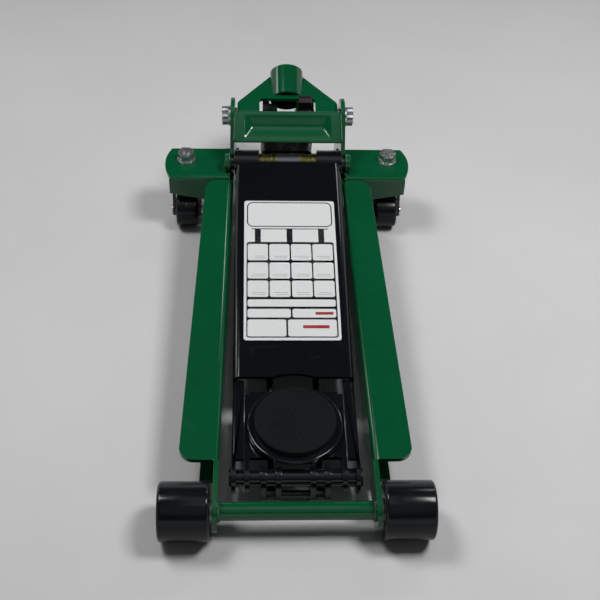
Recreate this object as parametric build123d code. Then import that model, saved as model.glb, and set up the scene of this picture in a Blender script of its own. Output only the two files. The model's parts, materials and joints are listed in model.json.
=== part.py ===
from build123d import *
from math import asin, atan2, cos, degrees, hypot, radians, sin, tan
import os

# A low-profile trolley jack, in millimetres.
# X points right, Y points from the saddle towards the handle, Z points up, and the floor is Z = 0.
# Distances along the jack are measured back from the front axle while it is modelled.
# The last step moves every piece so that the origin lies under the middle of the jack's length.

# Fits between pieces
running_clearance = 0.05
seat_gap = 0.3
side_gap = 0.5

# Front rollers and their axle
roller_radius = 35.5
roller_width = 61.0
roller_edge_radius = 3.0
roller_side_gap = 3.0
roller_recess_radius = 21.0
roller_recess_depth = 8.0
axle_radius = 8.0
bush_wall = 4.0
retainer_thickness = 2.0
retainer_width = 6.0
cross_tube_radius = 11.2
cross_tube_wall = 2.9

# Side plates: pressed channels that open outwards and lean in towards the rear
front_half_width = 99.5
toe_in = 15.0
plate_thickness = 6.0
bend_radius = 9.0
nose_radius = 25.0
flange_start = 52.0
flange_end = 533.0
lower_flange_end = 528.0
channel_bottom = 17.0
channel_top_front = 66.0
channel_top_rear = 98.0
upper_flange_front_width = 49.0
upper_flange_rear_width = 40.0
lower_flange_width = 25.0
flange_corner_radius = 18.0

# Yoke pivot, high in the ears of the side plates
yoke_pivot_y = 622.0
yoke_pivot_z = 149.0
ear_radius = 27.0
neck_front_y = 568.0
neck_corner_radius = 10.0
neck_low_z = 30.0

# Lift arm hinge, lever and travel
hinge_y = 562.0
hinge_z = 108.0
front_pin_y = 44.0
front_pin_z = 40.0
lowest_height = 75.0
highest_height = 500.0
arm_shaft_radius = 11.0
shaft_cap_radius = 12.5
shaft_cap_thickness = 7.0
arm_side_gap = 1.916
arm_wall = 5.0
arm_bend_radius = 9.0
arm_end_radius = 19.0
arm_hinge_radius = 22.0
cover_front_y = 177.0
cover_rear_y = 549.0
cover_rise = 14.0
arm_depth_front = 17.0
arm_depth_rear = 28.0
saddle_notch_clearance = 17.0
front_flange_gap = 1.0
front_flange_setback = 14.0
front_flange_bend = 5.0
front_arm_root_radius = 5.0
stiffener_drop = 3.0
hinge_tube_radius = 19.0
lever_radius = 62.0
lever_thickness = 8.0
lever_side_gap = 3.5
lever_end_radius = 13.0
lever_hub_radius = 22.0
lever_top_rise = 5.0
lever_pin_radius = 7.0
lever_pin_overhang = 12.0
lever_roller_radius = 14.0
lever_roller_half_width = 18.0
lever_spacer_radius = 10.5
stiffener_radius = 8.0
stiffener_wall = 2.5
stiffener_places = (232.0, 455.0)

# Label plate on the arm's cover
label_margin = 13.5
label_start_y = 232.0
label_length = 242.0
label_thickness = 0.5
label_corner_radius = 4.0

# Levelling rods: a parallelogram with the lift arm
rod_offset_y = -10.0
rod_offset_z = -20.0
rod_side_gap = 13.5
rod_radius = 5.0
rod_eye_radius = 9.0
rod_eye_thickness = 10.0
rod_pin_radius = 5.0
lug_thickness = 7.0
open_pivot_clearance = 0.3
anchor_hub_radius = 14.0
anchor_spacer_radius = 12.9
sleeve_radius = 13.5

# Saddle bracket between the front ends of the arm
front_pin_radius = 7.0
bracket_tube_radius = 11.0
bracket_side_gap = 10.5
bracket_wall = 6.0
bracket_floor_top = 57.0
bracket_floor_thickness = 6.0
bracket_front_overhang = 44.0
bracket_rear_overhang = 58.0
bracket_end_radius = 17.0
bracket_tail_radius = 7.0
bracket_lug_radius = 14.0
front_pin_head_radius = 11.0
front_pin_head_thickness = 3.0

# Saddle
saddle_y = 106.0
saddle_radius = 59.0
saddle_floor = 5.0
saddle_rim_top = 67.0
pad_radius = 51.2
pad_edge_radius = 2.5
stem_radius = 13.0
stem_bottom = 43.0
clip_thickness = 2.5
clip_width = 4.0

# Wings that carry the rear casters
wing_top = 97.0
wing_thickness = 5.0
wing_front_y = 540.0
wing_rear_y = 608.5
stem_offset = 66.05
wing_overhang = 31.5
wing_shoulder = 9.0
lip_outer_z = 66.0
wing_bend_radius = 6.0
lip_inner_z = 46.0
lip_inset = 7.0

# Casters
stem_y = 582.8
caster_stem_radius = 6.0
caster_nut_flats = 22.0
caster_nut_height = 11.0
caster_washer_radius = 14.0
caster_washer_thickness = 2.5
race_radius = 20.0
race_thickness = 7.0
ball_radius = 3.0
ball_circle_radius = 15.0
ball_count = 14
fork_top_radius = 21.0
fork_plate = 4.0
fork_front_radius = 9.0
caster_trail = 32.0
caster_radius = 25.0
caster_width = 32.0
caster_edge_radius = 4.0
caster_axle_radius = 5.0
stem_head_radius = 10.0
stem_head_thickness = 4.0
caster_side_gap = 1.5

# Hydraulic unit
ram_radius = 17.0
ram_tail = 31.0
ram_gap = 0.7
ram_edge = 2.0
gland_radius = 25.0
gland_length = 9.0
gland_gap = 3.8
block_length = 52.0
block_half_width = 39.0
block_bottom = 20.0
block_top = 88.0
block_edge_radius = 8.0
cylinder_wall = 5.0
cylinder_end_gap = 3.8
tank_radius = 36.0
tank_wall = 3.0
tank_z = 54.0
tank_end_gap = 20.0
tank_edge_radius = 8.0
plug_radius = 6.5
plug_height = 5.0
trunnion_z = 52.0
trunnion_radius = 9.0
trunnion_depth = 5.0
trunnion_boss_radius = 26.0
trunnion_nut_flats = 27.0
trunnion_nut_thickness = 9.0

# Pump plunger and its spring
plunger_inset = 15.0
plunger_radius = 6.0
plunger_bottom = 40.0
pump_boss_radius = 14.0
pump_boss_top = 104.0
plunger_cap_radius = 11.0
plunger_cap_thickness = 7.0
pump_gap = 0.6
spring_wire_radius = 0.9
spring_mean_radius = 8.5
spring_turns = 5

# Release valve
housing_inner_x = 15.0
housing_outer_x = 37.0
housing_rear_x = 27.0
housing_front_y = 640.0
housing_step_y = 655.0
housing_rear_y = 662.0
housing_top = 148.0
housing_edge_radius = 2.0
valve_y = 652.0
valve_stem_radius = 5.0
valve_depth = 22.0
valve_fork_radius = 9.0
valve_fork_bottom = 102.0
valve_fork_top = 127.0
valve_slot = 7.0

# Handle yoke and socket
yoke_side_gap = 2.85
yoke_plate_thickness = 5.0
yoke_plate_top = 160.0
yoke_front_y = 614.0
yoke_window_y = 651.0
yoke_fork_width = 33.0
yoke_shoulder_y = 641.0
yoke_plate_rear_y = 708.0
yoke_cheek_radius = 17.0
yoke_bolt_radius = 8.0
yoke_bolt_flats = 24.0
yoke_bolt_head = 10.0
yoke_washer_radius = 15.0
yoke_washer_thickness = 3.0
yoke_bolt_overhang = 1.0
socket_tilt_deg = 21.0
socket_radius = 25.0
socket_wall = 4.0
socket_length = 50.0
socket_rim_y = 713.0
socket_rim_z = 163.5
set_screw_place = 26.0
set_screw_radius = 5.0
set_screw_flats = 17.0
set_screw_head = 7.0
set_screw_boss_radius = 11.0
set_screw_boss_height = 10.0
pump_roller_y = 650.0
pump_roller_z = 136.0
pump_roller_radius = 12.0
pump_roller_half_width = 9.0
roller_pin_radius = 4.0
roller_lug_thickness = 4.0
roller_lug_radius = 8.0
roller_lug_root_radius = 6.0
roller_lug_lean = 4.0

# Cross panel between the ears
panel_front_y = 571.0
panel_front_z = 139.0
panel_rear_y = 608.0
panel_rear_z = 169.0
panel_thickness = 4.0
pocket_half_width = 64.0
pocket_depth = 7.0
pocket_start = 5.0
pocket_end = 41.0
pocket_floor_half_width = 52.0
pocket_floor_start = 21.5
pocket_floor_end = 27.5
panel_hole_radius = 2.5

# Return springs between the lever pin and the trunnions
return_spring_offset = 6.0
return_wire_radius = 1.2
return_mean_radius = 6.5
return_turns = 11
return_body_start = 15.0
return_body_end = 17.0
hook_clearance = 0.3

# Values worked out from the driving dimensions
toe = atan2(toe_in, yoke_pivot_y)
arm_slope = atan2(hinge_z - front_pin_z, hinge_y - front_pin_y)
arm_length = hypot(hinge_z - front_pin_z, hinge_y - front_pin_y)
raise_height = highest_height - lowest_height
lift_angle = arm_slope + asin((front_pin_z + raise_height - hinge_z) / arm_length)
lever_pin_y = hinge_y + lever_radius * sin(lift_angle / 2)
lever_pin_z = hinge_z - lever_radius * cos(lift_angle / 2)
ram_stroke = 2 * lever_radius * sin(lift_angle / 2)
ram_z = hinge_z - lever_radius * (1 + cos(lift_angle / 2)) / 2
ram_front_y = lever_pin_y + lever_roller_radius + ram_gap
ram_length = ram_stroke + ram_tail
block_front_y = ram_front_y + gland_gap + gland_length
block_rear_y = block_front_y + block_length
cylinder_rear_y = ram_front_y + ram_length + cylinder_end_gap + cylinder_wall
tank_rear_y = cylinder_rear_y + tank_end_gap
trunnion_y = block_front_y + block_length / 2
plunger_y = pump_roller_y
hinge_half_space = front_half_width - plate_thickness - (hinge_y + arm_hinge_radius) * tan(toe)
arm_half_width = hinge_half_space - arm_side_gap
bracket_half_width = arm_half_width - arm_wall - bracket_side_gap
bracket_floor_front_y = saddle_y - bracket_front_overhang
bracket_rear_y = saddle_y + bracket_rear_overhang
label_half_width = arm_half_width - label_margin
rod_outer_x = bracket_half_width - bracket_wall - rod_side_gap - lug_thickness
rod_x = rod_outer_x - side_gap - rod_eye_thickness / 2
yoke_half_space = front_half_width - plate_thickness - (yoke_pivot_y + ear_radius) * tan(toe)
yoke_half_width = yoke_half_space - yoke_side_gap
yoke_bolt_inner_x = yoke_half_width - yoke_plate_thickness - yoke_bolt_overhang
yoke_window_half_width = yoke_half_width - yoke_fork_width
plunger_x = yoke_window_half_width - plunger_inset
stem_x = front_half_width - stem_y * tan(toe) + stem_offset
wing_half_width = stem_x + wing_overhang
lip_outer_x = wing_half_width - lip_inset
pocket_floor_middle = (pocket_floor_start + pocket_floor_end) / 2
front_flange_inner_x = bracket_half_width + front_flange_gap
front_flange_start_y = front_pin_y + front_flange_setback
rod_rear_y = hinge_y + rod_offset_y
rod_rear_z = hinge_z + rod_offset_z
rod_front_y = front_pin_y + rod_offset_y
rod_front_z = front_pin_z + rod_offset_z
rod_inner_x = rod_x - rod_eye_thickness / 2 - side_gap
lever_inner_x = rod_outer_x + lug_thickness + lever_side_gap
lever_pin_half_length = lever_inner_x + lever_thickness + lever_pin_overhang
return_spring_x = lever_inner_x + lever_thickness + return_spring_offset
bush_radius = axle_radius + bush_wall
roller_inner_x = front_half_width + roller_side_gap
roller_outer_x = roller_inner_x + roller_width
socket_tilt = radians(socket_tilt_deg)
rear_reach = socket_rim_y + socket_radius * sin(socket_tilt)
middle_y = (rear_reach - roller_radius) / 2
reach = 2 * rear_reach


def web_inner(y):
    return front_half_width - plate_thickness - y * tan(toe)


def web_outer(y):
    return front_half_width - y * tan(toe)


def arm_line(y):
    return front_pin_z + (y - front_pin_y) * tan(arm_slope)


def block(x_low, x_high, y_low, y_high, z_low, z_high):
    centre = ((x_low + x_high) / 2, (y_low + y_high) / 2, (z_low + z_high) / 2)
    return Pos(*centre) * Box(x_high - x_low, y_high - y_low, z_high - z_low)


def rod_along_x(radius, x_low, x_high, y, z):
    return Pos((x_low + x_high) / 2, y, z) * Rot(0, 90, 0) * Cylinder(radius, x_high - x_low)


def rod_along_y(radius, y_low, y_high, x, z):
    return Pos(x, (y_low + y_high) / 2, z) * Rot(90, 0, 0) * Cylinder(radius, y_high - y_low)


def rod_along_z(radius, z_low, z_high, x, y):
    return Pos(x, y, (z_low + z_high) / 2) * Cylinder(radius, z_high - z_low)


def tube_along_x(outer, inner, x_low, x_high, y, z):
    return rod_along_x(outer, x_low, x_high, y, z) - rod_along_x(inner, x_low, x_high, y, z)


def tube_along_z(outer, inner, z_low, z_high, x, y):
    return rod_along_z(outer, z_low, z_high, x, y) - rod_along_z(inner, z_low, z_high, x, y)


def hexagon_along_x(flats, x_low, x_high, y, z):
    outline = Plane.YZ.offset(x_low) * Pos(y, z) * RegularPolygon(flats / 2, 6, major_radius=False)
    return extrude(outline, amount=x_high - x_low)


def hexagon_along_z(flats, z_low, z_high, x, y):
    outline = Plane.XY.offset(z_low) * Pos(x, y) * RegularPolygon(flats / 2, 6, major_radius=False)
    return extrude(outline, amount=z_high - z_low)


def hull_outline(*circles):
    edges = ShapeList()
    for across, up, radius in circles:
        edges.extend((Pos(across, up) * Circle(radius)).edges())
    return make_hull(edges)


def side_extrusion(outline, x_low, x_high):
    return extrude(Plane.YZ.offset(x_low) * outline, amount=x_high - x_low)


def strut_plate(x_low, x_high, *circles):
    return side_extrusion(hull_outline(*circles), x_low, x_high)


def both_sides(shape):
    return shape + mirror(shape, about=Plane.YZ)


def channel_section(y, top, upper_width):
    inner_bend = bend_radius - plate_thickness
    bottom = channel_bottom
    bend_share = 1 - cos(radians(45))
    outer_bow = bend_radius * bend_share
    inner_bow = inner_bend * bend_share
    t = plate_thickness
    with BuildLine() as outline:
        Line((lower_flange_width, bottom), (bend_radius, bottom))
        ThreePointArc((bend_radius, bottom), (outer_bow, bottom + outer_bow), (0, bottom + bend_radius))
        Line((0, bottom + bend_radius), (0, top - bend_radius))
        ThreePointArc((0, top - bend_radius), (outer_bow, top - outer_bow), (bend_radius, top))
        Line((bend_radius, top), (upper_width, top))
        Line((upper_width, top), (upper_width, top - t))
        Line((upper_width, top - t), (bend_radius, top - t))
        ThreePointArc(
            (bend_radius, top - t), (t + inner_bow, top - t - inner_bow), (t, top - bend_radius)
        )
        Line((t, top - bend_radius), (t, bottom + bend_radius))
        ThreePointArc(
            (t, bottom + bend_radius), (t + inner_bow, bottom + t + inner_bow), (bend_radius, bottom + t)
        )
        Line((bend_radius, bottom + t), (lower_flange_width, bottom + t))
        Line((lower_flange_width, bottom + t), (lower_flange_width, bottom))
    face = make_face(outline.line)
    return Plane(origin=(0, y, 0), x_dir=(1, 0, 0), z_dir=(0, -1, 0)) * face


def rounded_corner_cut(x, y, x_side, y_side, radius, z_low, z_high):
    corner = block(
        min(x, x - x_side * radius), max(x, x - x_side * radius),
        min(y, y - y_side * radius), max(y, y - y_side * radius), z_low, z_high
    )
    keep = rod_along_z(radius, z_low, z_high, x - x_side * radius, y - y_side * radius)
    return corner - keep


def right_side_plate():
    # The channel is lofted flat, then turned in by the toe angle about the front axle.
    front = channel_section(flange_start, channel_top_front, upper_flange_front_width)
    rear = channel_section(flange_end, channel_top_rear, upper_flange_rear_width)
    channel = loft([front, rear], ruled=True)
    tall = highest_height
    channel -= rounded_corner_cut(
        upper_flange_front_width, flange_start, 1, -1, flange_corner_radius, channel_bottom + 20, tall
    )
    channel -= rounded_corner_cut(
        upper_flange_rear_width, flange_end, 1, 1, flange_corner_radius, channel_bottom + 20, tall
    )
    channel -= block(
        plate_thickness, lower_flange_width + 1, lower_flange_end, flange_end + 1, 0, channel_bottom + 15
    )
    nose = hull_outline(
        (0, roller_radius, nose_radius),
        (flange_start, channel_top_front - bend_radius, bend_radius),
        (flange_start, channel_bottom + bend_radius, bend_radius),
    )
    nose &= Pos(flange_start - reach / 2, 0) * Rectangle(reach, reach)
    neck = hull_outline(
        (yoke_pivot_y, yoke_pivot_z, ear_radius),
        (neck_front_y, channel_top_rear - neck_corner_radius, neck_corner_radius),
        (neck_front_y, neck_low_z, neck_corner_radius),
        (trunnion_y, trunnion_z, trunnion_boss_radius),
    )
    link_bottom = channel_bottom
    link_top = channel_top_rear - bend_radius
    link = Polyline(
        (flange_end, link_bottom), (neck_front_y, neck_low_z - neck_corner_radius),
        (neck_front_y, link_top), (flange_end, link_top), close=True
    )
    neck += make_face(link)
    plate = channel + side_extrusion(nose, 0, plate_thickness) + side_extrusion(neck, 0, plate_thickness)
    plate = Pos(front_half_width - plate_thickness, 0, 0) * Rot(0, 0, degrees(toe)) * plate
    across = (0, 2 * front_half_width)
    plate -= rod_along_x(axle_radius, *across, 0, roller_radius)
    plate -= rod_along_x(arm_shaft_radius, *across, hinge_y, hinge_z)
    plate -= rod_along_x(yoke_bolt_radius, *across, yoke_pivot_y, yoke_pivot_z)
    plate -= rod_along_x(trunnion_radius, *across, trunnion_y, trunnion_z)
    return plate


def front_axle():
    end = roller_outer_x - roller_edge_radius
    return rod_along_x(axle_radius, -end, end, 0, roller_radius)


def front_cross_tube():
    end = web_inner(0) - tan(toe) * cross_tube_radius
    return tube_along_x(
        cross_tube_radius, cross_tube_radius - cross_tube_wall, -end, end, 0, roller_radius
    )


def front_axle_retainers():
    recess_x = roller_outer_x - roller_recess_depth
    outer_washer = tube_along_x(
        axle_radius + retainer_width, axle_radius, recess_x + seat_gap,
        recess_x + seat_gap + retainer_thickness, 0, roller_radius
    )
    clip = tube_along_x(
        axle_radius + retainer_width / 2, axle_radius, recess_x + seat_gap + retainer_thickness,
        recess_x + seat_gap + 2 * retainer_thickness, 0, roller_radius
    )
    inner_washer = tube_along_x(
        axle_radius + retainer_width, axle_radius, web_outer(-axle_radius - retainer_width),
        roller_inner_x - seat_gap, 0, roller_radius
    )
    return both_sides(outer_washer) + both_sides(clip) + both_sides(inner_washer)


def right_roller():
    body = rod_along_x(roller_radius, roller_inner_x, roller_outer_x, 0, roller_radius)
    body = fillet(body.edges(), roller_edge_radius)
    recess_x = roller_outer_x - roller_recess_depth
    body -= rod_along_x(roller_recess_radius, recess_x, roller_outer_x, 0, roller_radius)
    return body - rod_along_x(bush_radius, roller_inner_x, roller_outer_x, 0, roller_radius)


def right_roller_bush():
    bore = axle_radius + running_clearance
    recess_x = roller_outer_x - roller_recess_depth
    return tube_along_x(bush_radius, bore, roller_inner_x, recess_x, 0, roller_radius)


def right_wing():
    # The inner edge follows the side plate, and the outer end is one arc.
    inner_front = web_outer(wing_front_y)
    inner_rear = web_outer(wing_rear_y)
    shoulder_x = wing_half_width - wing_shoulder
    middle = (wing_front_y + wing_rear_y) / 2
    with BuildLine() as plan:
        Line((shoulder_x, wing_rear_y), (inner_rear, wing_rear_y))
        Line((inner_rear, wing_rear_y), (inner_front, wing_front_y))
        Line((inner_front, wing_front_y), (shoulder_x, wing_front_y))
        ThreePointArc((shoulder_x, wing_front_y), (wing_half_width, middle), (shoulder_x, wing_rear_y))
    plate = extrude(Plane.XY.offset(wing_top - wing_thickness) * make_face(plan.line), amount=wing_thickness)
    lip_face = make_face(Polyline(
        (inner_front, wing_top), (shoulder_x, wing_top), (lip_outer_x, wing_top - wing_thickness),
        (lip_outer_x, lip_outer_z), (inner_front, lip_inner_z), close=True
    ))
    lip_plane = Plane(origin=(0, wing_front_y, 0), x_dir=(1, 0, 0), z_dir=(0, -1, 0))
    lip = extrude(lip_plane * lip_face, amount=-wing_thickness)
    bend_y = wing_front_y + wing_bend_radius
    bend_z = wing_top - wing_bend_radius
    corner = block(0, reach, wing_front_y - 1, bend_y, bend_z, wing_top + 1)
    wing = plate + lip - (corner - rod_along_x(wing_bend_radius, 0, reach, bend_y, bend_z))
    wing -= rod_along_z(caster_stem_radius, 0, 2 * wing_top, stem_x, stem_y)
    inner_side = Pos(front_half_width, 0, 0) * Rot(0, 0, degrees(toe)) * block(-reach, 0.02, 0, reach, 0, reach)
    wing -= inner_side
    cap_room = rod_along_x(shaft_cap_radius + side_gap, 0, web_outer(hinge_y) + 9, hinge_y, hinge_z)
    return wing - cap_room


def panel_plane(y, z):
    return Plane(
        origin=(0, y, z), x_dir=(1, 0, 0),
        z_dir=(0, panel_front_z - panel_rear_z, panel_rear_y - panel_front_y)
    )


def rear_cross_panel():
    # Local Y runs up the sheet from its front edge, and local Z is its upper face.
    length = hypot(panel_rear_y - panel_front_y, panel_rear_z - panel_front_z)
    wide = web_inner(panel_front_y) + 5
    sheet = block(-wide, wide, 0, length, -panel_thickness, 0)
    pocket = loft([
        Plane.XY.offset(0.01) * Pos(0, (pocket_start + pocket_end) / 2) * RectangleRounded(
            2 * pocket_half_width, pocket_end - pocket_start, 5),
        Plane.XY.offset(-pocket_depth) * Pos(0, pocket_floor_middle) * RectangleRounded(
            2 * pocket_floor_half_width, pocket_floor_end - pocket_floor_start, 2),
    ], ruled=True)
    shell_outside = Pos(0, 0, -panel_thickness) * pocket
    sheet = sheet + shell_outside - pocket
    sheet -= Pos(0, pocket_floor_middle, 0) * Cylinder(panel_hole_radius, 60)
    sheet = panel_plane(panel_front_y, panel_front_z) * sheet
    outside = Pos(front_half_width - plate_thickness, 0, 0) * Rot(0, 0, degrees(toe)) * block(
        0, reach, 0, reach, 0, reach)
    return sheet - both_sides(outside)


def arm_shaft():
    end = web_outer(hinge_y) + shaft_cap_thickness
    return rod_along_x(arm_shaft_radius, -end, end, hinge_y, hinge_z)


def arm_shaft_caps():
    start = web_outer(hinge_y - shaft_cap_radius)
    cap = tube_along_x(
        shaft_cap_radius, arm_shaft_radius, start, web_outer(hinge_y) + shaft_cap_thickness,
        hinge_y, hinge_z
    )
    return both_sides(cap)


def rod_anchors():
    shape = None
    for low, high in (
        (rod_inner_x - lug_thickness, rod_inner_x), (rod_outer_x, rod_outer_x + lug_thickness)
    ):
        lug = strut_plate(
            low, high, (hinge_y, hinge_z, anchor_hub_radius), (rod_rear_y, rod_rear_z, rod_eye_radius)
        )
        shape = lug if shape is None else shape + lug
    shape -= rod_along_x(arm_shaft_radius, 0, reach, hinge_y, hinge_z)
    shape -= rod_along_x(rod_pin_radius, 0, reach, rod_rear_y, rod_rear_z)
    spacer = tube_along_x(
        anchor_spacer_radius, arm_shaft_radius, rod_inner_x + seat_gap, rod_outer_x - seat_gap,
        hinge_y, hinge_z
    )
    return both_sides(shape + spacer)


def shaft_sleeve():
    half = rod_inner_x - lug_thickness
    return tube_along_x(sleeve_radius, arm_shaft_radius, -half, half, hinge_y, hinge_z)


def anchor_pin():
    end = rod_outer_x + lug_thickness
    return rod_along_x(rod_pin_radius, -end, end, rod_rear_y, rod_rear_z)


def arm_body_outline():
    # A deep body under the cover and a round hinge end.
    body = make_face(Polyline(
        (cover_front_y, arm_line(cover_front_y) + cover_rise),
        (cover_rear_y, arm_line(cover_rear_y) + cover_rise),
        (hinge_y, hinge_z + cover_rise),
        (hinge_y, hinge_z - arm_hinge_radius),
        (hinge_y - 90, arm_line(hinge_y - 90) - arm_depth_rear),
        (cover_front_y, arm_line(cover_front_y) - arm_depth_front),
        close=True
    ))
    return body + Pos(hinge_y, hinge_z) * Circle(arm_hinge_radius)


def front_arm():
    # A slim arm beside the saddle, in line with the channel's side wall.
    root_y = cover_front_y + 15
    root_z = arm_line(root_y) - 1
    outline = hull_outline(
        (front_pin_y, front_pin_z, arm_end_radius),
        (root_y, root_z, front_arm_root_radius),
        (root_y, root_z - arm_depth_front + 6, front_arm_root_radius),
    )
    side = side_extrusion(outline, arm_half_width - arm_wall, arm_half_width)
    flange = side_extrusion(outline, front_flange_inner_x, arm_half_width)
    flange -= Pos(0, 0, -arm_wall) * flange
    flange &= block(0, reach, front_flange_start_y, cover_front_y + 1, 0, reach)
    run = hypot(root_y - front_pin_y, root_z - front_pin_z)
    slope = atan2(root_z - front_pin_z, root_y - front_pin_y)
    slope -= asin((arm_end_radius - front_arm_root_radius) / run)
    bend_x = arm_half_width - front_flange_bend
    bend_z = arm_end_radius - front_flange_bend
    corner = block(bend_x, bend_x + reach, front_flange_setback, run, bend_z, bend_z + reach)
    corner -= rod_along_y(front_flange_bend, 0, run + 1, bend_x, bend_z)
    return side + flange - Pos(0, front_pin_y, front_pin_z) * Rot(degrees(slope), 0, 0) * corner


def lift_arm_channel():
    half = arm_half_width
    inner = half - arm_wall
    inner_bend = arm_bend_radius - arm_wall
    deep = 2 * hinge_z
    section = make_face(Polyline((-half, -deep), (-half, 0), (half, 0), (half, -deep), close=True))
    section = fillet(section.vertices().sort_by(Axis.Y)[-2:], arm_bend_radius)
    hollow = make_face(Polyline(
        (-inner, -deep - 1), (-inner, -arm_wall), (inner, -arm_wall), (inner, -deep - 1), close=True
    ))
    hollow = fillet(hollow.vertices().sort_by(Axis.Y)[-2:], inner_bend)
    run = Plane(
        origin=(0, front_pin_y, arm_line(front_pin_y) + cover_rise), x_dir=(1, 0, 0),
        z_dir=(0, -cos(arm_slope), -sin(arm_slope))
    )
    bar = extrude(run * (section - hollow), amount=-arm_length - 60)
    arm = bar & side_extrusion(arm_body_outline(), -half, half)
    above = arm_line(cover_rear_y) + cover_rise
    arm -= block(-inner, inner, cover_rear_y, hinge_y + 60, hinge_z, above + 60)
    arm -= rod_along_z(saddle_radius + saddle_notch_clearance, 0, reach, 0, saddle_y)
    arm += both_sides(front_arm())
    arm -= rod_along_x(front_pin_radius, -reach, reach, front_pin_y, front_pin_z)
    start = rod_outer_x + lug_thickness + side_gap
    return arm - both_sides(rod_along_x(hinge_tube_radius, start, reach, hinge_y, hinge_z))


def arm_hinge_tubes():
    end = web_inner(hinge_y + hinge_tube_radius) - side_gap
    bore = arm_shaft_radius + running_clearance
    start = rod_outer_x + lug_thickness + side_gap
    return both_sides(tube_along_x(hinge_tube_radius, bore, start, end, hinge_y, hinge_z))


def arm_levers():
    lever = strut_plate(
        lever_inner_x, lever_inner_x + lever_thickness, (hinge_y, hinge_z, lever_hub_radius),
        (lever_pin_y, lever_pin_z, lever_end_radius)
    )
    lever -= block(0, reach, 0, reach, hinge_z + lever_top_rise, reach)
    lever -= rod_along_x(hinge_tube_radius, 0, reach, hinge_y, hinge_z)
    lever -= rod_along_x(lever_pin_radius, 0, reach, lever_pin_y, lever_pin_z)
    return both_sides(lever)


def lever_pin():
    return rod_along_x(
        lever_pin_radius, -lever_pin_half_length, lever_pin_half_length, lever_pin_y, lever_pin_z
    )


def lever_spacers():
    return both_sides(tube_along_x(
        lever_spacer_radius, lever_pin_radius, lever_roller_half_width + side_gap, lever_inner_x,
        lever_pin_y, lever_pin_z
    ))


def lever_roller():
    roller = rod_along_x(
        lever_roller_radius, -lever_roller_half_width, lever_roller_half_width, lever_pin_y, lever_pin_z
    )
    roller = chamfer(roller.edges(), 1.5)
    bore = lever_pin_radius + running_clearance
    return roller - rod_along_x(bore, -reach, reach, lever_pin_y, lever_pin_z)


def arm_cross_tubes():
    inner = arm_half_width - arm_wall
    shape = None
    for place in stiffener_places:
        tube = tube_along_x(
            stiffener_radius, stiffener_radius - stiffener_wall, -inner, inner, place,
            arm_line(place) - stiffener_drop
        )
        shape = tube if shape is None else shape + tube
    return shape


def label_plate():
    centre_y = label_start_y + label_length * cos(arm_slope) / 2
    centre_z = arm_line(centre_y) + cover_rise
    face = RectangleRounded(2 * label_half_width, label_length, label_corner_radius)
    sheet = extrude(face, amount=label_thickness)
    return Pos(0, centre_y, centre_z) * Rot(degrees(arm_slope), 0, 0) * sheet


def front_pin():
    head_x = arm_half_width + seat_gap
    end = head_x + front_pin_head_thickness
    pin = rod_along_x(front_pin_radius, -end, end, front_pin_y, front_pin_z)
    head = tube_along_x(
        front_pin_head_radius, front_pin_radius - 1, head_x, end, front_pin_y, front_pin_z
    )
    return pin + both_sides(head)


def front_pin_spacers():
    bore = front_pin_radius + running_clearance
    low = bracket_half_width + seat_gap
    high = arm_half_width - arm_wall - seat_gap
    return both_sides(tube_along_x(bracket_tube_radius, bore, low, high, front_pin_y, front_pin_z))


def saddle_bracket():
    inner = bracket_half_width - bracket_wall
    tail_z = bracket_floor_top - bracket_tail_radius
    cheek = strut_plate(
        inner, bracket_half_width, (front_pin_y, front_pin_z, bracket_end_radius),
        (bracket_rear_y - bracket_tail_radius, tail_z, bracket_tail_radius)
    )
    cheek -= rod_along_x(bracket_tube_radius, 0, reach, front_pin_y, front_pin_z)
    floor = block(
        -inner, inner, bracket_floor_front_y, bracket_rear_y,
        bracket_floor_top - bracket_floor_thickness, bracket_floor_top
    )
    bracket = both_sides(cheek) + floor
    return bracket - rod_along_z(stem_radius + running_clearance, 0, reach, 0, saddle_y)


def bracket_tube():
    # The cross tube turns on the front pin and carries the lugs for the levelling rods.
    bore = front_pin_radius + running_clearance
    tube = rod_along_x(
        bracket_tube_radius, -bracket_half_width, bracket_half_width, front_pin_y, front_pin_z
    )
    for low, high in (
        (rod_inner_x - lug_thickness, rod_inner_x), (rod_outer_x, rod_outer_x + lug_thickness)
    ):
        lug = strut_plate(
            low, high, (front_pin_y, front_pin_z, bracket_lug_radius),
            (rod_front_y, rod_front_z, rod_eye_radius)
        )
        tube += both_sides(lug)
    tube -= rod_along_x(bore, -reach, reach, front_pin_y, front_pin_z)
    return tube - rod_along_x(rod_pin_radius, -reach, reach, rod_front_y, rod_front_z)


def level_pin():
    end = rod_outer_x + lug_thickness
    return rod_along_x(rod_pin_radius, -end, end, rod_front_y, rod_front_z)


def right_level_rod():
    # The front eye is the opened pivot of the parallelogram, so its bore has room to spare.
    eye_low = rod_x - rod_eye_thickness / 2
    eye_high = rod_x + rod_eye_thickness / 2
    angle = atan2(rod_rear_z - rod_front_z, rod_rear_y - rod_front_y)
    bar_length = arm_length - 2 * (rod_eye_radius - 2)
    middle = (rod_x, (rod_front_y + rod_rear_y) / 2, (rod_front_z + rod_rear_z) / 2)
    bar = Pos(*middle) * Rot(degrees(angle), 0, 0) * Rot(90, 0, 0) * Cylinder(rod_radius - 0.02, bar_length)
    rear_bore = rod_pin_radius + running_clearance
    front_bore = rod_pin_radius + open_pivot_clearance
    rod = bar + rod_along_x(rod_eye_radius, eye_low, eye_high, rod_rear_y, rod_rear_z)
    rod += rod_along_x(rod_eye_radius, eye_low, eye_high, rod_front_y, rod_front_z)
    rod -= rod_along_x(rear_bore, 0, reach, rod_rear_y, rod_rear_z)
    return rod - rod_along_x(front_bore, 0, reach, rod_front_y, rod_front_z)


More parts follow.
